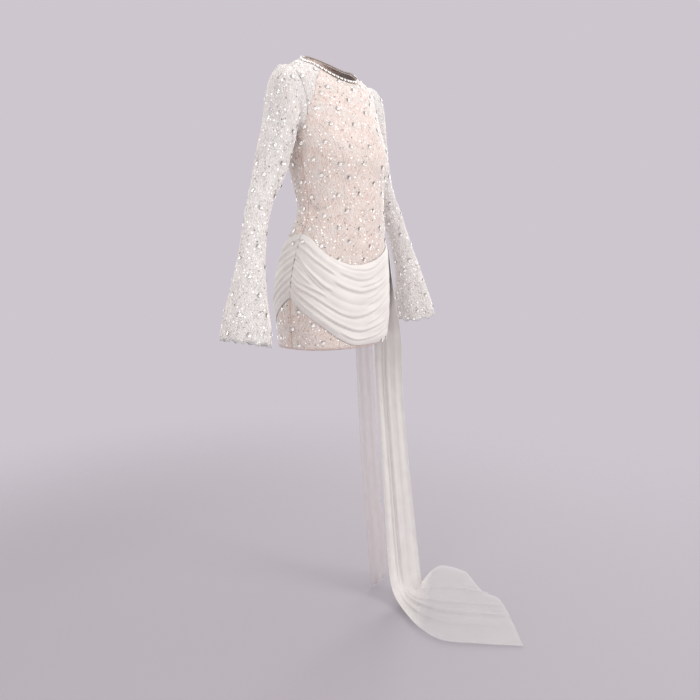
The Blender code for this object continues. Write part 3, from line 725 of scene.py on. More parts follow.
def silk_chiffon(name, colour_low, colour_high, cover, floor_cover=None, crinkle=0.25):
    """Silk chiffon: matt crinkled crepe that lets through what lies behind, more so on the floor."""
    made, tree, shader = new_material(name)
    plan = plan_millimetres(tree)
    crepe = add_node(tree, "ShaderNodeTexNoise", Vector=plan, Scale=0.45, Detail=3.0, Roughness=0.6)
    cloud = add_node(tree, "ShaderNodeTexNoise", Vector=plan, Scale=0.018, Detail=2.0)
    colour = add_node(tree, "ShaderNodeValToRGB", stops=((0.3, colour_low), (0.7, colour_high)),
                      i0=cloud.outputs["Fac"])
    bump = add_node(tree, "ShaderNodeBump", Strength=crinkle, Distance=0.0006, Height=crepe.outputs["Fac"])
    fill(tree, shader, Base_Color=colour.outputs[0], Normal=bump.outputs[0], Alpha=cover, Roughness=0.7,
         Sheen_Weight=0.25, Sheen_Roughness=0.4)
    if floor_cover is not None:
        run = add_node(tree, "ShaderNodeSeparateXYZ", i0=plan)
        rising = add_node(tree, "ShaderNodeMapRange", Value=run.outputs[1], i1=210.0, i2=330.0,
                          i3=floor_cover, i4=cover)
        veil = add_node(tree, "ShaderNodeMapRange", Value=run.outputs[1], i1=1300.0, i2=1400.0,
                        i3=rising.outputs[0], i4=0.62)
        fill(tree, shader, Alpha=veil.outputs[0])
    return made


def woven_tape():
    """Woven polyester zip tape: matt blush with a fine twill rib across it."""
    made, tree, shader = new_material("woven_zip_tape")
    plan = plan_millimetres(tree)
    rib = add_node(tree, "ShaderNodeTexWave", {"bands_direction": "DIAGONAL"}, Vector=plan, Scale=0.35)
    colour = add_node(tree, "ShaderNodeValToRGB", stops=((0.2, "#C9A596"), (0.8, "#DDC1B4")),
                      i0=rib.outputs["Fac"])
    bump = add_node(tree, "ShaderNodeBump", Strength=0.5, Distance=0.0003, Height=rib.outputs["Fac"])
    fill(tree, shader, Base_Color=colour.outputs[0], Normal=bump.outputs[0], Roughness=0.6)
    return made


def fine_grained(name, grain, colour_low, colour_high, **values):
    """A narrow piece's finish: one colour, uneven in tone as finely as its grain."""
    made, tree, shader = new_material(name)
    place = add_node(tree, "ShaderNodeTexCoord").outputs["Object"]
    speck = add_node(tree, "ShaderNodeTexNoise", Vector=place, Scale=grain, Detail=1.0)
    colour = add_node(tree, "ShaderNodeValToRGB", stops=((0.35, colour_low), (0.65, colour_high)),
                      i0=speck.outputs["Fac"])
    fill(tree, shader, Base_Color=colour.outputs[0], **values)
    return made


def glinting(name, stops, glint, **values):
    """A small glossy thing, coloured by its painted shine, from painted shade to painted highlight; the
    brightest of its kind glow as a painted glint.
    """
    made, tree, shader = new_material(name)
    shine = add_node(tree, "ShaderNodeAttribute", {"attribute_name": "shine"}).outputs["Fac"]
    colour = add_node(tree, "ShaderNodeValToRGB", stops=stops, i0=shine)
    # Painted glint: emission makes the brightest shine glow, though the thing is no lamp.
    spark = add_node(tree, "ShaderNodeMapRange", Value=shine, i1=0.6, i2=0.85, i3=0.0, i4=glint)
    fill(tree, shader, Base_Color=colour.outputs[0], Emission_Strength=spark.outputs[0],
         Emission_Color=linear("#FFFDFC"), **values)
    return made


def make_mesh(name, points, face_sets, plan=None, shade_smooth=True, shine=None):
    """A mesh from points and arrays of faces; plan gives a u and v for each point, in metres."""
    mesh = bpy.data.meshes.new(name)
    points = np.asarray(points, np.float32)
    mesh.vertices.add(len(points))
    mesh.vertices.foreach_set("co", points.ravel())
    corners = np.concatenate([np.asarray(f).ravel() for f in face_sets]).astype(np.int32)
    sizes = np.concatenate([np.full(len(f), np.shape(f)[1]) for f in face_sets])
    mesh.loops.add(len(corners))
    mesh.loops.foreach_set("vertex_index", corners)
    mesh.polygons.add(len(sizes))
    mesh.polygons.foreach_set("loop_start", np.concatenate([[0], np.cumsum(sizes)[:-1]]).astype(np.int32))
    mesh.update(calc_edges=True)
    if plan is not None:
        layer = mesh.uv_layers.new(name="plan")
        layer.data.foreach_set("uv", np.asarray(plan, np.float32)[corners].ravel())
    if shine is not None:
        mesh.attributes.new("shine", "FLOAT", "FACE").data.foreach_set("value", np.asarray(shine, np.float32))
    mesh.polygons.foreach_set("use_smooth", np.full(len(sizes), shade_smooth))
    return mesh


def add_piece(name, mesh, material=None):
    """A piece that rides with the dress."""
    if material is not None:
        mesh.materials.append(material)
    piece = bpy.data.objects.new(name, mesh)
    bpy.context.scene.collection.objects.link(piece)
    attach(piece, "root")
    return piece


def trimming(name, mesh, material):
    """A piece that is sewn on, with the finish it belongs to."""
    piece = add_piece(name, mesh, material)
    return piece


def grid_faces(rows, columns, tube=False):
    """Quads of a grid of points, rows up and columns to the left, as an array."""
    row, col = np.meshgrid(np.arange(rows - 1), np.arange(columns if tube else columns - 1), indexing="ij")
    a = row * columns + col
    b = row * columns + (col + 1) % columns
    return np.stack([a, b, b + columns, a + columns], axis=-1).reshape(-1, 4)


def shell(name, outer, inner, plan, material, tube=False):
    """A closed thin wall of cloth between two grids."""
    rows, columns = outer.shape[:2]
    back = rows * columns
    front_faces = grid_faces(rows, columns, tube)
    back_faces = front_faces[:, ::-1] + back
    row_edge = np.arange(columns if tube else columns - 1)
    next_edge = (row_edge + 1) % columns
    top = (rows - 1) * columns
    edges = [
        np.stack([next_edge, row_edge, back + row_edge, back + next_edge], axis=-1),
        np.stack([top + row_edge, top + next_edge, back + top + next_edge, back + top + row_edge], axis=-1),
    ]
    if not tube:
        a = np.arange(rows - 1) * columns
        b = a + columns - 1
        edges.append(np.stack([a, a + columns, back + a + columns, back + a], axis=-1))
        edges.append(np.stack([b + columns, b, back + b, back + b + columns], axis=-1))
    points = np.concatenate([outer.reshape(-1, 3), inner.reshape(-1, 3)])
    plan = np.concatenate([plan.reshape(-1, 2)] * 2)
    return add_piece(name, make_mesh(name, points, [front_faces, back_faces, *edges], plan), material)


def declare(piece, node):
    """Hides the imported part of the node that the piece replaces."""
    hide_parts(node)


def mirrored(grid):
    """The same patch on the other side, with its columns still running to the left."""
    return (grid * (-1, 1, 1))[:, ::-1]


def add_pair(node, cloth, material, tube=False):
    """A left piece, from its outer and inner points and its plan, and its mirror image on the right."""
    outer, inner, plan = cloth
    sides = {"left": cloth, "right": (mirrored(outer), mirrored(inner), plan[:, ::-1] * (-1, 1))}
    for side, (face, back, flat) in sides.items():
        piece = shell("lace_" + node + "_" + side, face, back, flat, material, tube)
        declare(piece, node + "_" + side)


def body_panel(right_of, left_of, low, high, grid):
    """A panel's outer and inner points and its plan, between two seams, rolled in at the seams."""
    rows, columns = grid
    stations = np.linspace(low, high, rows)
    share = np.linspace(0, 1, columns + 1)
    gap = np.degrees(SEAM_HALF_GAP / smooth(column(BODY, "half_width"), stations))
    start = right_of(stations) + gap
    stop = left_of(stations) - gap
    angle = start[:, None] + (stop - start)[:, None] * share
    station = np.repeat(stations[:, None], columns + 1, axis=1)
    u, v = body_plan(angle, station)
    from_seam = np.minimum(u - u[:, :1], u[:, -1:] - u)
    roll = -SEAM_ROLL * np.exp(-(from_seam / SEAM_ROLL_WIDTH) ** 2)
    outer, normal = body_cloth(angle, station, roll)
    return outer, outer - LACE_THICKNESS * normal, np.stack([u, v], axis=-1)


def make_body():
    """Front, side fronts, backs and zip tape."""
    outer, inner, plan = body_panel(lambda s: -front_edge(s), front_edge, 0, NECK_STATION, FRONT_GRID)
    piece = shell("lace_front_centre", outer, inner, plan, lined)
    declare(piece, "front_centre")
    sides = body_panel(princess_edge, side_edge, 0, SIDE_FRONT_TOP, SIDE_GRID)
    backs = body_panel(lambda s: 180 - side_edge(s), zip_edge, 0, NECK_STATION, BACK_GRID)
    for node, cloth in (("front_side", sides), ("back", backs)):
        add_pair(node, cloth, lined)
    outer, inner, plan = body_panel(zip_edge, lambda s: 360 - zip_edge(s),
                                    ZIP_FULL_STATION, NECK_STATION, ZIP_GRID)
    piece = shell("zip_tape", outer, inner, plan, tape)
    declare(piece, "back_zip")


def make_yoke():
    """The sheer yoke between the lining's edge and the armhole, as rays from armhole to edge."""
    tip = math.asin((LINING_START - ARMHOLE_STATION) / ARMHOLE_HALF_STATIONS)
    turns = np.linspace(tip, math.pi - tip, YOKE_RAYS)
    a_angle = 90 - ARMHOLE_HALF_ANGLE * np.cos(turns)
    a_station = ARMHOLE_STATION + ARMHOLE_HALF_STATIONS * np.sin(turns)
    rise = np.linspace(LINING_START, NECK_STATION, YOKE_EDGE_RAYS)
    edge = seam_angle(LINING_EDGE, rise)
    neck = np.linspace(edge[-1], 180 - edge[-1], len(turns) - 2 * len(rise) + 2)
    b_angle = np.concatenate([edge, neck[1:-1], 180 - edge[::-1]])
    b_station = np.concatenate([rise, np.full(len(neck) - 2, float(NECK_STATION)), rise[::-1]])
    share = np.linspace(0.004, 0.996, YOKE_RINGS)[:, None]
    angle = a_angle + (b_angle - a_angle) * share
    station = a_station + (b_station - a_station) * share
    outer, normal = body_cloth(angle, station)
    cloth = (outer, outer - LACE_THICKNESS * normal, np.stack(body_plan(angle, station), axis=-1))
    add_pair("yoke", cloth, sheer_yoke)


def make_sleeves():
    """Set-in sleeves as tubes, with a scalloped cuff."""
    shares = np.arange(SLEEVE_COLUMNS) / SLEEVE_COLUMNS
    head = np.linspace(-1, SLEEVE_HEAD_END, SLEEVE_HEAD_ROWS)
    lower = np.linspace(SLEEVE_HEAD_END, CUFF_ROW, SLEEVE_LOWER_ROWS)[1:]
    share, row = np.meshgrid(shares, np.concatenate([head, lower])[::-1])
    outer, normal = sleeve_cloth(share, row)
    near_hem = np.clip(row - CUFF_ROW + CUFF_SCALLOP_ROWS, 0, 1) / CUFF_SCALLOP_ROWS
    scallop = CUFF_SCALLOP_DEPTH * (np.abs(np.sin(math.pi * CUFF_SCALLOPS * share)) - 0.6)
    outer[..., 2] -= scallop * near_hem
    cloth = (outer, outer - LACE_THICKNESS * normal, np.stack(sleeve_plan(share, row), axis=-1))
    add_pair("sleeve", cloth, sheer_sleeve, tube=True)


def fold_wave(share, folds):
    """Soft folds from 0 in a valley to 1 on a ridge, of uneven width."""
    shift = FOLD_SHIFT * np.sin(2 * np.pi * share * FOLD_SHIFT_TURNS + FOLD_SHIFT_START)
    uneven = share + shift * share * (1 - share)
    return 0.5 - 0.5 * np.cos(2 * np.pi * folds * uneven)


def gathered(gathers, angle, height_share, height):
    """How far the listed creases move a swag's cloth: a tuck with a fuller fold above it."""
    out = np.zeros(height_share.shape)
    for g in gathers:
        order = np.argsort(g.angles)
        angles = np.asarray(g.angles, float)[order]
        station = np.interp(angle, angles, range(len(angles)))
        line = smooth(np.asarray(g.percents)[order] / 100, station)
        above = (height_share - line) * height
        fade = np.clip(np.minimum(angle - angles[0], angles[-1] - angle) / GATHER_FADE, 0, 1)
        tuck = -np.exp(-(above / g.width) ** 2)
        ridge = (above - GATHER_RIDGE_PLACE * g.width) / (GATHER_RIDGE_WIDTH * g.width)
        full = GATHER_RIDGE_SHARE * np.exp(-ridge ** 2)
        out = out + g.depth * (tuck + full) * fade * fade * (3 - 2 * fade)
    return out


def swag_grid(edges, gathers, phase):
    """A swag's outer points: its solid's soft form, with the listed creases."""
    rows, columns = SWAG_GRID
    ends = np.round(np.array([edges[0].angle, edges[-1].angle]) / 90) * 90
    angles = np.linspace(ends[0] + SWAG_END_GAP, ends[1] - SWAG_END_GAP, columns + 1)
    swag = {name: along(edges, name, "angle", angles) for name in SwagEdge._fields}
    share = np.linspace(0, 1, rows + 1)[:, None]
    tall = swag["top_h"] - swag["bottom_h"]
    station = station_at(swag["bottom_h"] + tall * share)
    angle = np.repeat(angles[None, :], rows + 1, axis=0)
    lean = FOLD_LEAN * np.sin(angles / FOLD_LEAN_DEGREES + phase)
    soft = np.sqrt(fold_wave(share + lean, SWAG_FOLDS)) - 0.5
    fold = swag["fold_depth"] * (0.5 + SWAG_SOFT_SHARE * soft)
    inside = np.clip(SWAG_EDGE_FADE * share, 0, 1) * np.clip(SWAG_EDGE_FADE * (1 - share), 0, 1)
    creased = (fold + gathered(gathers, angle, share + 0 * angle, tall)) * inside
    lift = SWAG_CLEARANCE + SWAG_WALL + swag["loft"] * np.sqrt(4 * share * (1 - share)) + creased
    for seam in GATHER_SEAMS:
        lift = lift - GATHER_SEAM_DIP * np.exp(-((angle - seam) / GATHER_SEAM_REACH) ** 2)
    outer = body_point(angle, station) + lift[..., None] * body_normal(angle, station)
    return outer, np.stack(body_plan(angle, station), axis=-1)


def add_chiffon(node, outer, plan, finish, held, rests_on):
    """A thin chiffon piece behind its outer points."""
    inner = outer - CHIFFON_THICKNESS * grid_normals(outer)
    declare(shell("chiffon_" + node, outer, inner, plan, finish), node)


def make_swags():
    add_chiffon("swag_front", *swag_grid(FRONT_SWAG, FRONT_GATHERS, 0.4), chiffon, "gathered",
                ["lace_front_centre"])
    add_chiffon("swag_back", *swag_grid(BACK_SWAG, BACK_GATHERS, 0.9), chiffon, "gathered",
                ["lace_back_left", "lace_back_right"])


def head_row(head, share, wave):
    """A row of a train where it is sewn over the ridges of the swags, a drop below their top edge."""
    edges = FRONT_SWAG + BACK_SWAG
    angle = head.a_angle + (head.b_angle - head.a_angle) * share
    swag = {name: along(edges, name, "angle", angle) for name in SwagEdge._fields}
    below_top = head.drop / (swag["top_h"] - swag["bottom_h"])
    ridge = swag["loft"] * np.sqrt(4 * below_top * (1 - below_top)) + swag["fold_depth"]
    lift = SWAG_CLEARANCE + ridge + 2 * SWAG_WALL + head.lift + head.fold * (1 + wave)
    station = station_at(swag["top_h"] - head.drop)
    return body_point(angle, station) + lift[:, None] * body_normal(angle, station)


def hanging_row(row, share, wave, cut):
    """A row of a train where it falls free, from a to b, or where it lies on the floor."""
    run_x = row.b_x - row.a_x
    run_y = row.b_y - row.a_y
    run = math.hypot(run_x, run_y)
    swing = TRAIN_FOLD_SHARE * row.fold * wave * (1 - row.lie) + 4 * row.bulge * share * (1 - share) + cut
    x = row.a_x + run_x * share - run_y / run * swing
    y = row.a_y + run_y * share + run_x / run * swing
    creased = sum(high * np.exp(-((share - place) / wide) ** 2) for place, wide, high in FLOOR_CREASES)
    z = row.h + (row.fold * (1 + wave) + creased) * row.lie - SEAT_HEIGHT
    return np.stack([x, y, z], axis=-1)


def train_grid(heads, rows, folds, end, grid):
    """A train's outer points and plan: main folds as in its solid, and finer ripples."""
    row_count, columns = grid
    share = np.linspace(0, 1, columns + 1)
    wave = along(folds, "swing", "share", share)
    cut = along(end, "out", "share", share)
    control = [head_row(head, share, wave) for head in heads]
    for level, row in enumerate(rows):
        turns = TRAIN_RIPPLES * share + TRAIN_RIPPLE_SHIFT * level
        fine = np.sin(2 * np.pi * turns) * np.sin(math.pi * share)
        last = 1.0 if row is rows[-1] else 0.0
        control.append(hanging_row(row, share, wave + TRAIN_RIPPLE * fine, cut * last))
    steps = np.linspace(0, len(control) - 1, row_count + 1)
    flat = np.array(control).reshape(len(control), -1)
    outer = np.stack([smooth(flat[:, k], steps) for k in range(flat.shape[1])], axis=-1)
    outer = outer.reshape(len(steps), len(share), 3)[::-1, ::-1]
    run = np.linalg.norm(np.diff(outer.mean(axis=1), axis=0), axis=-1)
    v = np.concatenate([[0], np.cumsum(run)])
    return outer, np.stack(np.meshgrid(share * TRAIN_PLAN_WIDTH, v), axis=-1)


def make_trains():
    front = train_grid(TRAIN_FRONT_HEAD, TRAIN_FRONT, TRAIN_FRONT_FOLDS, TRAIN_FRONT_END, TRAIN_FRONT_GRID)
    back = train_grid(TRAIN_BACK_HEAD, TRAIN_BACK, TRAIN_BACK_FOLDS, TRAIN_BACK_END, TRAIN_BACK_GRID)
    add_chiffon("train_front", *front, train_chiffon, "hung", ["chiffon_swag_front"])
    add_chiffon("train_back", *back, thin_chiffon, "hung", ["chiffon_swag_back"])


def neckline(turn):
    """The neckline's centre and outward direction at a turn in degrees."""
    centre = body_point(turn, np.full(np.shape(turn), float(NECK_STATION)))
    out = np.stack([np.sin(np.radians(turn)), -np.cos(np.radians(turn)), np.zeros(len(turn))], axis=-1)
    return centre + np.array([0, 0, TRIM_HALF_HEIGHT + 2 * SEAM_HALF_GAP]), out


def make_neck_band():
    """The cup chain's band round the neckline, a ring of oval section."""
    centre, out = neckline(np.linspace(0, 360, BAND_STEPS, endpoint=False))
    rings = []
    for angle in np.arange(BAND_SIDES) * 2 * math.pi / BAND_SIDES:
        rise = CHAIN_HALF_HEIGHT * math.sin(angle) - CHAIN_DROP
        rings.append(centre + out * TRIM_HALF_THICKNESS * math.cos(angle) + np.array([0, 0, rise]))
    first = np.arange(BAND_STEPS)
    following = (first + 1) % BAND_STEPS
    last = (BAND_SIDES - 1) * BAND_STEPS
    seam = np.stack([last + first, last + following, following, first], axis=-1)
    walls = grid_faces(BAND_SIDES, BAND_STEPS, True)
    mesh = make_mesh("neck_trim_band", np.concatenate(rings), [walls, seam])
    piece = add_piece("neck_trim_band", mesh, chain_finish)
    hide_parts("neck_trim")


def swag_cover(angle, station):
    """How far inside the swags a place of the body lies, in metres of height; negative outside."""
    turn = (np.asarray(angle) + 90) % 360 - 90
    edges = FRONT_SWAG + BACK_SWAG
    height = smooth(column(BODY, "side_h"), np.minimum(station, ARMPIT_STATION))
    top = along(edges, "top_h", "angle", turn)
    bottom = along(edges, "bottom_h", "angle", turn)
    return np.where(station > ARMPIT_STATION, -1.0, np.minimum(top - height, height - bottom))


def on_body_lace(u, v):
    """Where the body has open lace to sew on, clear of seams, armholes, zip and swags."""
    angle, station = body_from_plan(u, v)
    per_degree = np.interp(station, PLAN_STATIONS, GIRTHS) / 360
    turn = np.abs(angle)
    clear = turn < 180
    for edge in (side_edge(station), 180 - side_edge(station)):
        clear &= np.abs(turn - edge) * per_degree > SEAM_CLEAR
    clear &= (turn < zip_edge(station) - SEAM_CLEAR / per_degree) | (station < ZIP_END_STATION)
    level = np.abs(station - ARMHOLE_STATION) < ARMHOLE_HALF_STATIONS
    from_armhole = (np.abs(turn - 90) - armhole_turn(station)) * per_degree
    clear &= ~level | (from_armhole > SEAM_CLEAR)
    clear &= (v > SEAM_CLEAR) & (v < RISES[-1] - SEAM_CLEAR)
    return clear & (swag_cover(angle, station) < SWAG_CLEAR)


def on_sleeve_lace(u, v):
    """Where a sleeve has open lace to sew on, clear of its seam and of both ends."""
    row = sleeve_from_plan(u, v)[1]
    half = np.interp(row, SLEEVE_ROWS, SLEEVE_GIRTHS) / 2
    return (np.abs(u) < half - SEAM_CLEAR) & (v > 2 * SEAM_CLEAR) & (v < SLEEVE_RUNS[-1] - SEAM_CLEAR)


def on_body(u, v, lift):
    return body_cloth(*body_from_plan(u, v), lift)


def on_sleeve(u, v, lift):
    return sleeve_cloth(*sleeve_from_plan(u, v), lift)


def floret_places(half_width, length, first_row, random):
    """The staggered rows on which blossoms and stone florets are sewn."""
    places = []
    columns = int(half_width / FLORET_COLUMN)
    for k in range(-columns, columns + 1):
        v = first_row + (k % 2) * FLORET_ROW / 2
        while v < length:
            drift = random.uniform(-FLORET_DRIFT, FLORET_DRIFT, 2)
            places.append(((k + 0.25) * FLORET_COLUMN + drift[0], v + drift[1]))
            v += FLORET_ROW
    return np.array(places)


def stream_lines(half_width, length, blossoms):
    """Cords that run up the lace in swaying streams, pinch and open, and part round the blossoms."""
    lines = []
    v = np.arange(0, length, CORD_STEP)
    for k in range(int(-half_width / CORD_SPACING), int(half_width / CORD_SPACING) + 1):
        u0 = k * CORD_SPACING
        sway = STREAM_SWAY * np.sin(2 * np.pi * v / STREAM_SWAY_RUN + 26 * u0 + 2 * np.sin(9 * v))
        pinch = STREAM_PINCH * np.sin(2 * np.pi * v / STREAM_PINCH_RUN + math.pi * (k % 2) + 60 * u0)
        u = u0 + sway + pinch
        for bu, bv in blossoms:
            near = np.abs(v - bv) < 3 * BLOSSOM_RADIUS
            if not near.any() or abs(u0 - bu) > 4 * BLOSSOM_RADIUS:
                continue
            du = u[near] - bu
            dv = v[near] - bv
            push = BLOSSOM_RADIUS * np.exp(-(du ** 2 + dv ** 2) / (1.3 * BLOSSOM_RADIUS ** 2))
            u[near] += np.where(du >= 0, push, -push)
        lines.append(np.stack([u, v], axis=-1))
    return lines


def blossom_lines(blossoms, random):
    """Petal outlines and a ring of cord round each place, turned at random."""
    lines = []
    turn = np.linspace(0, 2 * math.pi, 31)
    for bu, bv in blossoms:
        start = random.uniform(0, 2 * math.pi)
        petal = np.abs(np.cos(BLOSSOM_PETALS * (turn - start) / 2)) ** 0.7
        radius = BLOSSOM_RADIUS * (0.55 + 0.45 * petal)
        lines.append(np.stack([bu + radius * np.cos(turn), bv + radius * np.sin(turn)], axis=-1))
    return lines


def leaf_lines(half_width, length, count, random):
    """Small leaf outlines scattered among the streams, most of them pointing up."""
    lines = []
    t = np.linspace(-1, 1, 8)
    side = LEAF_WIDTH / 2 * (1 - t ** 2)
    ahead = LEAF_LENGTH / 2 * t
    for _ in range(count):
        u = random.uniform(-half_width, half_width)
        v = random.uniform(0, length)
        lean = random.normal(0, LEAF_LEAN)
        for across in (-side, side):
            lines.append(np.stack([u + across * math.cos(lean) + ahead * math.sin(lean),
                                   v + ahead * math.cos(lean) - across * math.sin(lean)], axis=-1))
    return lines


def clipped(lines, inside):
    """The runs of each line that lie on open lace."""
    kept = []
    for line in lines:
        on = inside(line[:, 0], line[:, 1])
        edges = np.flatnonzero(np.diff(np.concatenate([[0], on.astype(int), [0]])))
        for start, stop in zip(edges[::2], edges[1::2]):
            if stop - start >= 3:
                kept.append(line[start:stop])
    return kept


def cord_mesh(name, lines, surface, mirror=False):
    """Raised cords on the cloth along the plan's lines, three-sided and tapered at both ends."""
    flat = np.concatenate(lines)
    base, normal = surface(flat[:, 0], flat[:, 1], np.full(len(flat), -CORD_SINK))
    points = np.empty((len(flat), 3, 3))
    quads = []
    ends = []
    start = 0
    for line in lines:
        stop = start + len(line)
        run = slice(start, stop)
        side = unit(np.cross(normal[run], np.gradient(base[run], axis=0)))
        taper = np.ones(len(line))
        taper[[0, -1]] = CORD_END_SHARE
        reach = (taper * CORD_WIDTH / 2)[:, None]
        points[run, 0] = base[run] + side * reach
        points[run, 1] = base[run] - side * reach
        points[run, 2] = base[run] + normal[run] * (taper * CORD_HEIGHT + CORD_SINK)[:, None]
        first = 3 * np.arange(start, stop - 1)[:, None]
        for a, b in ((0, 1), (1, 2), (2, 0)):
            quads.append(np.concatenate([first + a, first + b, first + b + 3, first + a + 3], axis=1))
        ends.append([3 * start, 3 * start + 2, 3 * start + 1])
        ends.append([3 * stop - 3, 3 * stop - 2, 3 * stop - 1])
        start = stop
    points = points.reshape(-1, 3)
    faces = [np.concatenate(quads), np.array(ends)]
    if mirror:
        return make_mesh(name, points * (-1, 1, 1), faces)
    return make_mesh(name, points, [face[:, ::-1] for face in faces])


def lace_drawing(girths, runs, first_row, leaves, open_lace, random):
    """The cords of one plan of lace, where the lace is open, and the places of its blossoms."""
    half = girths.max() / 2
    places = floret_places(half, runs[-1], first_row, random)
    places = places[open_lace(places[:, 0], places[:, 1])]
    lines = stream_lines(half, runs[-1], places) + blossom_lines(places, random)
    lines += leaf_lines(half, runs[-1], leaves, random)
    return clipped(lines, open_lace), places


def make_lace_cords():
    """The raised cords of body and sleeves, and the places where florets sit."""
    random = np.random.default_rng(11)
    lines, places = lace_drawing(GIRTHS, RISES, 0.020, BODY_LEAVES, on_body_lace, random)
    front = [line for line in lines if abs(body_from_plan(*line[len(line) // 2])[0]) < 90]
    back = [line for line in lines if abs(body_from_plan(*line[len(line) // 2])[0]) >= 90]
    for name, part in (("lace_cords_front", front), ("lace_cords_back", back)):
        trimming(name, cord_mesh(name, part, on_body), cord_finish)
    lines, sleeve_places = lace_drawing(SLEEVE_GIRTHS, SLEEVE_RUNS, 0.030, SLEEVE_LEAVES, on_sleeve_lace,
                                        random)
    for side in ("left", "right"):
        name = "lace_cords_sleeve_" + side
        trimming(name, cord_mesh(name, lines, on_sleeve, mirror=side == "right"), cord_finish)
    return places, sleeve_places


# light sets how bright the stones' painted highlight and painted shade run overall.
def stone_mesh(name, centres, radius, random, light=0.58):
    """Cut stones in round cups, facing +Z: a small table, a crown of facets and the cup's wall. Each face's
    shine is a painted reflection: facets turned up and left are painted dark like the dark of the room, the
    others painted bright like its lights, and the cup's wall and bottom are painted in shade."""
    points = []
    quads = []
    tables = []
    side_shine = []
    table_shine = []
    k = np.arange(STONE_SIDES)
    after = (k + 1) % STONE_SIDES
    turn = k * 2 * math.pi / STONE_SIDES
    rim = np.stack([np.cos(turn), np.sin(turn)], axis=-1)
    # Painted reflection: each facet is painted lighter the nearer it turns to STONE_LIT_TURN.
    lit = 0.5 * np.cos(turn + math.pi / STONE_SIDES - STONE_LIT_TURN)
    for cx, cy in centres:
        base = len(points) * STONE_SIDES
        for share, height in STONE_RINGS:
            level = np.full(STONE_SIDES, radius * height)
            points.append(np.column_stack([rim * radius * share + (cx, cy), level]))
        for low in (base, base + STONE_SIDES):
            high = low + STONE_SIDES
            quads.append(np.stack([low + k, low + after, high + after, high + k], axis=-1))
        tables += [base + 2 * STONE_SIDES + k, base + k[::-1]]
        # Painted light across a floret: stones on the STONE_LIT_TURN side are painted brighter, those
        # opposite darker.
        place = math.cos(math.atan2(cy, cx) - STONE_LIT_TURN) if cx or cy else 0.6
        spark = random.uniform(-0.2, 0.2, STONE_SIDES)
        bright = np.clip(light + 0.30 * place + 0.7 * lit + spark, 0, 1)
        # Painted shade on the cup's wall and painted highlight on the crown; the top table is painted lit and
        # the bottom painted dark.
        side_shine += [0.35 * bright, bright]
        table_shine += [np.clip(light + 0.14 + 0.40 * place, 0, 1), 0.2]
    return make_mesh(name, np.concatenate(points), [np.concatenate(quads), np.array(tables)],
                     shade_smooth=False, shine=np.concatenate(side_shine + [np.array(table_shine)]))


def node_group(name, **inputs):
    """A tree with a geometry and named inputs: the tree, its input node and the inputs' identifiers."""
    tree = bpy.data.node_groups.new(name, "GeometryNodeTree")
    tree.interface.new_socket("Geometry", in_out="INPUT", socket_type="NodeSocketGeometry")
    names = {}
    for label, kind in inputs.items():
        socket = tree.interface.new_socket(label, in_out="INPUT", socket_type="NodeSocket" + kind)
        names[label] = socket.identifier
    tree.interface.new_socket("Geometry", in_out="OUTPUT", socket_type="NodeSocketGeometry")
    return tree, add_node(tree, "NodeGroupInput"), names


def end_group(tree, copies, material):
    """Ends a tree in real geometry with its material."""
    real = add_node(tree, "GeometryNodeRealizeInstances", i0=copies)
    finished = add_node(tree, "GeometryNodeSetMaterial", i0=real.outputs[0], Material=material)
    add_node(tree, "NodeGroupOutput", i0=finished.outputs[0])


def turned_copies(tree, facing, least, most, seed):
    """A rotation, loosened by a random turn of its own."""
    turn = add_node(tree, "FunctionNodeRandomValue", {"data_type": "FLOAT_VECTOR"},
                    i0=least, i1=most, Seed=seed)
    loose = add_node(tree, "FunctionNodeEulerToRotation", i0=turn.outputs[0])
    return add_node(tree, "FunctionNodeRotateRotation", {"rotation_space": "LOCAL"},
                    i0=facing, i1=loose.outputs[0]).outputs[0]


def placing_tree(name, template, material, spin):
    """Sets copies of a template on points, their +Z along the point's aim, each turned at random."""
    tree, given, names = node_group(name, Size="Float")
    aim = add_node(tree, "GeometryNodeInputNamedAttribute", {"data_type": "FLOAT_VECTOR"}, Name="aim")
    level = add_node(tree, "FunctionNodeAlignRotationToVector", {"axis": "Z"}, Vector=aim.outputs[0])
    facing = add_node(tree, "FunctionNodeAlignRotationToVector", {"axis": "Y", "pivot_axis": "Z"},
                      Rotation=level.outputs[0], Vector=(0, 0, 1))
    lean, roll = spin
    turned = turned_copies(tree, facing.outputs[0], (-lean, -lean, -roll), (lean, lean, roll), 5)
    source = add_node(tree, "GeometryNodeObjectInfo", i0=template)
    spots = add_node(tree, "GeometryNodeMeshToPoints", i0=given.outputs[0])
    copies = add_node(tree, "GeometryNodeInstanceOnPoints", Points=spots.outputs[0],
                      Instance=source.outputs["Geometry"], Rotation=turned, Scale=given.outputs["Size"])
    end_group(tree, copies.outputs[0], material)
    return tree, names["Size"]


def made_by_nodes(name, carrier, tree, settings):
    """The plain mesh that a node tree makes of a carrier mesh."""
    holder = bpy.data.objects.new(name + "_carrier", carrier)
    bpy.context.scene.collection.objects.link(holder)
    modifier = holder.modifiers.new(name, "NODES")
    modifier.node_group = tree
    for identifier, value in settings.items():
        modifier[identifier] = value
    graph = bpy.context.evaluated_depsgraph_get()
    mesh = bpy.data.meshes.new_from_object(holder.evaluated_get(graph), depsgraph=graph)
    mesh.name = name
    bpy.data.objects.remove(holder)
    return mesh


def set_stones(name, points, aims, template_mesh, size=1.0, spin=(0.1, 0.35)):
    """A joined piece of copies of a template at points, facing their aims."""
    template = bpy.data.objects.new(template_mesh.name, template_mesh)
    bpy.context.scene.collection.objects.link(template)
    tree, size_input = placing_tree(name, template, stone_finish, spin)
    carrier = bpy.data.meshes.new(name + "_points")
    carrier.from_pydata([tuple(p) for p in points], [], [])
    aim = carrier.attributes.new("aim", "FLOAT_VECTOR", "POINT")
    aim.data.foreach_set("vector", np.asarray(aims, np.float32).ravel())
    mesh = made_by_nodes(name, carrier, tree, {size_input: size})
    bpy.data.objects.remove(template)
    trimming(name, mesh, None)


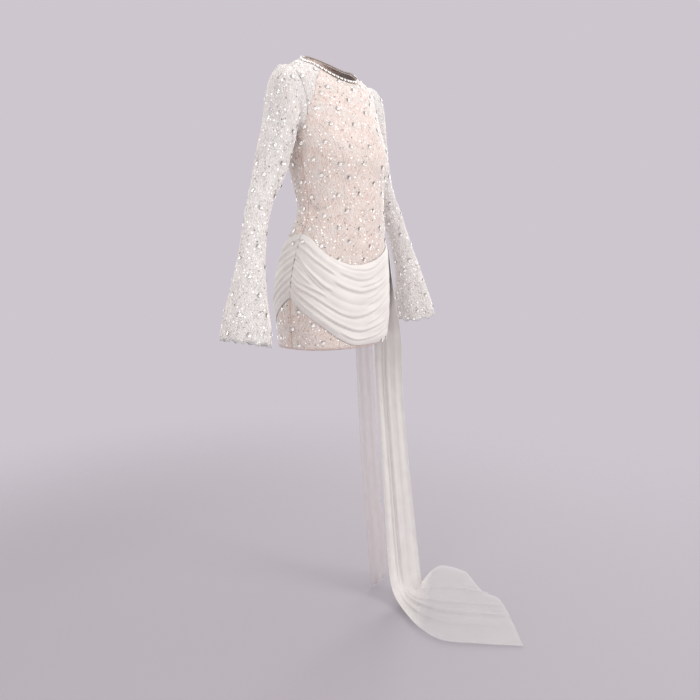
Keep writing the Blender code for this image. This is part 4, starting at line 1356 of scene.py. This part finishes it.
def make_florets(places, sleeve_places):
    """Stone florets on the blossoms, the neckline's row of stones and the stones at the swag's gather."""
    random = np.random.default_rng(23)
    ring = np.arange(FLORET_STONES) * 2 * math.pi / FLORET_STONES
    centres = [(0.0, 0.0)] + [(FLORET_RADIUS * math.cos(a), FLORET_RADIUS * math.sin(a)) for a in ring]
    floret = stone_mesh("floret", centres, STONE_RADIUS, random)
    points, aims = on_body(places[:, 0], places[:, 1], np.full(len(places), FLORET_LIFT))
    set_stones("stone_florets_body", points, aims, floret)
    lift = np.full(len(sleeve_places), FLORET_LIFT)
    points, aims = on_sleeve(sleeve_places[:, 0], sleeve_places[:, 1], lift)
    for side, way in (("left", 1), ("right", -1)):
        floret = stone_mesh("floret", centres, STONE_RADIUS, random)
        set_stones("stone_florets_sleeve_" + side, points * (way, 1, 1), aims * (way, 1, 1), floret)
    make_neck_stones(random)
    angle, share = (np.array(values) for values in zip(*GATHER_STONES))
    swag = {name: along(FRONT_SWAG + BACK_SWAG, name, "angle", angle) for name in ("top_h", "bottom_h")}
    station = station_at(swag["bottom_h"] + (swag["top_h"] - swag["bottom_h"]) * share)
    aims = body_normal(angle, station)
    set_stones("stones_at_gather", body_point(angle, station) + GATHER_STONE_LIFT * aims, aims, floret,
               size=GATHER_STONE_SIZE)


def make_neck_stones(random):
    """One even row of stones round the neckline, painted bright and painted shaded ones in turn."""
    turn = np.linspace(0, 360, 720, endpoint=False)
    centre = neckline(turn)[0]
    run = np.cumsum(np.linalg.norm(centre - np.roll(centre, 1, axis=0), axis=-1))
    centre, out = neckline(np.interp(np.arange(NECK_STONES) * run[-1] / NECK_STONES, run, turn))
    aims = unit(out + np.array([0, 0, STONE_AIM_UP]))
    seats = centre + aims * TRIM_HALF_THICKNESS - np.array([0, 0, CHAIN_DROP])
    # Painted light: the same stone in turn painted lit and painted in shade.
    for kind, first, light in (("bright", 0, 0.78), ("shaded", 1, 0.24)):
        stone = stone_mesh("neck_stone", [(0.0, 0.0)], NECK_STONE_RADIUS, random, light)
        set_stones("neckline_stones_" + kind, seats[first::2], aims[first::2], stone, spin=(0.12, 0.35))


def sequin_tree():
    """Scatters sequins over a surface, tilted at random, each with its own size and a random painted shine,
    from painted shade to a painted glint.
    """
    tree, given, names = node_group("sequin_scatter", Density="Float", Gap="Float", Radius="Float",
                                    Seed="Int")
    spots = add_node(tree, "GeometryNodeDistributePointsOnFaces", {"distribute_method": "POISSON"},
                     Mesh=given.outputs["Geometry"], Distance_Min=given.outputs["Gap"],
                     Density_Max=given.outputs["Density"], Density_Factor=1.0, Seed=given.outputs["Seed"])
    disc = add_node(tree, "GeometryNodeMeshCone", {"fill_type": "NGON"}, Vertices=6, Side_Segments=1,
                    Radius_Top=SEQUIN_RADIUS * SEQUIN_TOP_SHARE, Radius_Bottom=given.outputs["Radius"],
                    Depth=SEQUIN_DEPTH)
    turned = turned_copies(tree, spots.outputs["Rotation"], (-SEQUIN_TILT, -SEQUIN_TILT, 0),
                           (SEQUIN_TILT, SEQUIN_TILT, 6.0), 3)
    sizes = add_node(tree, "FunctionNodeRandomValue", {"data_type": "FLOAT"}, i2=0.30, i3=1.05, Seed=21)
    copies = add_node(tree, "GeometryNodeInstanceOnPoints", Points=spots.outputs["Points"],
                      Instance=disc.outputs[0], Rotation=turned, Scale=sizes.outputs[1])
    # Painted light: each sequin's random shine sets its painted shade, plain colour or painted glint.
    chance = add_node(tree, "FunctionNodeRandomValue", {"data_type": "FLOAT"}, Seed=8)
    shining = add_node(tree, "GeometryNodeStoreNamedAttribute", {"data_type": "FLOAT", "domain": "INSTANCE"},
                       Geometry=copies.outputs[0], Name="shine", Value=chance.outputs[1])
    end_group(tree, shining.outputs[0], sequin_finish)
    return tree, names


def add_sequins(name, grid, plan, inside, seed):
    """Sequins over the open lace of an outer grid, given with its plan."""
    tree, names = sequin_tree()
    quads = grid_faces(*grid.shape[:2])
    middle = plan.reshape(-1, 2)[quads].mean(axis=1)
    open_quads = quads[inside(middle[:, 0], middle[:, 1])]
    carrier = make_mesh(name + "_ground", grid.reshape(-1, 3), [open_quads])
    settings = {names["Density"]: SEQUIN_DENSITY, names["Gap"]: SEQUIN_GAP,
                names["Radius"]: SEQUIN_RADIUS, names["Seed"]: seed}
    trimming(name, made_by_nodes(name, carrier, tree, settings), None)


def make_sequins():
    """Sequins on the whole front, back and sleeves."""
    stations = np.linspace(0.05, NECK_STATION - 0.1, 110)
    for name, low, high, seed in (("sequins_front", -90, 90, 4), ("sequins_back", 90, 270, 9)):
        angle, station = np.meshgrid(np.linspace(low, high, 90), stations)
        signed = np.where(angle > 180, angle - 360, angle)
        grid = body_cloth(signed, station, np.full(angle.shape, SEQUIN_LIFT))[0]
        plan = np.stack(body_plan(signed, station), axis=-1)
        add_sequins(name, grid, plan, on_body_lace, seed)
    share, row = np.meshgrid(np.linspace(0, 1, 61), np.linspace(CUFF_ROW - 0.1, -0.8, 90))
    grid = sleeve_cloth(share, row, np.full(share.shape, SEQUIN_LIFT))[0]
    plan = np.stack(sleeve_plan(share, row), axis=-1)
    add_sequins("sequins_sleeve_left", grid, plan, on_sleeve_lace, 14)
    add_sequins("sequins_sleeve_right", mirrored(grid), plan[:, ::-1], on_sleeve_lace, 15)


def place_facing(thing, place, ahead):
    """Links a camera or a light, set at a place and looking ahead."""
    thing.location = place
    thing.rotation_mode = "QUATERNION"
    thing.rotation_quaternion = ahead.to_track_quat("-Z", "Y")
    bpy.context.scene.collection.objects.link(thing)


def make_camera():
    data = bpy.data.cameras.new("photo_view")
    data.sensor_width = SENSOR_WIDTH
    data.lens = SENSOR_WIDTH * FOCAL_SHARE
    camera = bpy.data.objects.new("photo_view", data)
    ahead = Vector((*CAMERA_AHEAD, 0)).normalized() - Vector((0, 0, CAMERA_DROP))
    place_facing(camera, Vector(CAMERA_PLACE) - Vector((0, 0, SEAT_HEIGHT)), ahead)
    bpy.context.scene.camera = camera


def make_floor():
    """A plain pale floor that melts into the backdrop's colour."""
    mesh = bpy.data.meshes.new("studio_floor")
    signs = ((-1, -1), (1, -1), (1, 1), (-1, 1))
    corners = [(x * FLOOR_REACH, y * FLOOR_REACH, -SEAT_HEIGHT) for x, y in signs]
    mesh.from_pydata(corners, [], [(0, 1, 2, 3)])
    material, tree, shader = new_material("pale_matt_studio_paint")
    place = add_node(tree, "ShaderNodeTexCoord").outputs["Object"]
    middle = add_node(tree, "ShaderNodeVectorMath", {"operation": "MULTIPLY"}, i0=place, i1=(1, 1, 0))
    away = add_node(tree, "ShaderNodeVectorMath", {"operation": "LENGTH"}, i0=middle.outputs[0])
    fade = add_node(tree, "ShaderNodeMapRange", {"interpolation_type": "SMOOTHSTEP"},
                    Value=away.outputs["Value"], i1=0.9, i2=2.6, i3=1.0, i4=0.0)
    fill(tree, shader, Base_Color=linear("#AAA5AC"), Roughness=0.9, Specular_IOR_Level=0.1,
         Alpha=fade.outputs[0])
    mesh.materials.append(material)
    floor = bpy.data.objects.new("studio_floor", mesh)
    bpy.context.scene.collection.objects.link(floor)


def make_lights():
    """Soft studio light; the camera sees the backdrop's colour behind the dress."""
    world = bpy.data.worlds.new("studio")
    world.use_nodes = True
    tree = world.node_tree
    tree.nodes.clear()
    light = add_node(tree, "ShaderNodeBackground", Color=linear("#F4F1F0"), Strength=0.94)
    backdrop = add_node(tree, "ShaderNodeBackground", Color=linear(BACKDROP), Strength=1.0)
    seen = add_node(tree, "ShaderNodeLightPath").outputs["Is Camera Ray"]
    both = add_node(tree, "ShaderNodeMixShader", i0=seen, i1=light.outputs[0], i2=backdrop.outputs[0])
    add_node(tree, "ShaderNodeOutputWorld", i0=both.outputs[0])
    bpy.context.scene.world = world
    for name, place, target, size, power, colour in STUDIO_LIGHTS:
        data = bpy.data.lights.new(name, "AREA")
        data.shape = "RECTANGLE"
        data.size, data.size_y = size
        data.energy = power
        data.color = linear(colour)[:3]
        place_facing(bpy.data.objects.new(name, data), place, Vector(target) - Vector(place))


lined = corded_lace_over_lining()
sheer_yoke = sheer_lace("sheer_corded_lace_yoke", 0.62, "#D6D1D0", "#E6E2E1")
sheer_sleeve = sheer_lace("sheer_corded_lace_sleeve", 0.55, "#D6D3D3", "#E8E5E5", 0.30)
chiffon = silk_chiffon("silk_chiffon_drape", "#DFDAD7", "#E8E4E1", 1.0)
train_chiffon = silk_chiffon("silk_chiffon_double_layer", "#EDE9E7", "#F4F1EF", 0.92, 0.16)
thin_chiffon = silk_chiffon("silk_chiffon_single_layer", "#D6CFCF", "#DDD6D6", 0.34, crinkle=0.10)
tape = woven_tape()
# Twisted cotton cord that outlines the lace: matt ivory with a fine twist.
cord_finish = fine_grained("twisted_cotton_cord", 900.0, "#E6DEDB", "#F6F2F0", Roughness=0.6,
                           Sheen_Weight=0.2)
# Aged silver of the neckline's cup chain: warm grey metal, uneven in tone where it is worn.
chain_finish = fine_grained("aged_silver_cup_chain", 600.0, "#94877E", "#BFB4AC", Roughness=0.4, Metallic=0.4)
# Clear pearl sequins: thin glossy film, coloured by painted light: some of it painted shade and some of it a
# painted white glint.
sequin_finish = glinting("clear_pearl_sequin", ((0.0, "#857770"), (0.26, "#D1C5BF"), (0.65, "#FFFFFF")), 0.45,
                         Roughness=0.18, Coat_Weight=0.6)
# Foiled cut glass: each facet carries a painted reflection of another part of the room, bright or dark.
stone_finish = glinting("foiled_cut_glass", ((0.0, "#584B45"), (0.3, "#A5988F"), (0.55, "#FFFFFF")), 0.6,
                        Roughness=0.06, Coat_Weight=1.0)

bpy.context.scene.view_settings.view_transform = "Standard"
make_camera()
make_floor()
make_lights()
make_body()
make_yoke()
make_sleeves()
make_swags()
make_trains()
make_neck_band()
make_florets(*make_lace_cords())
make_sequins()
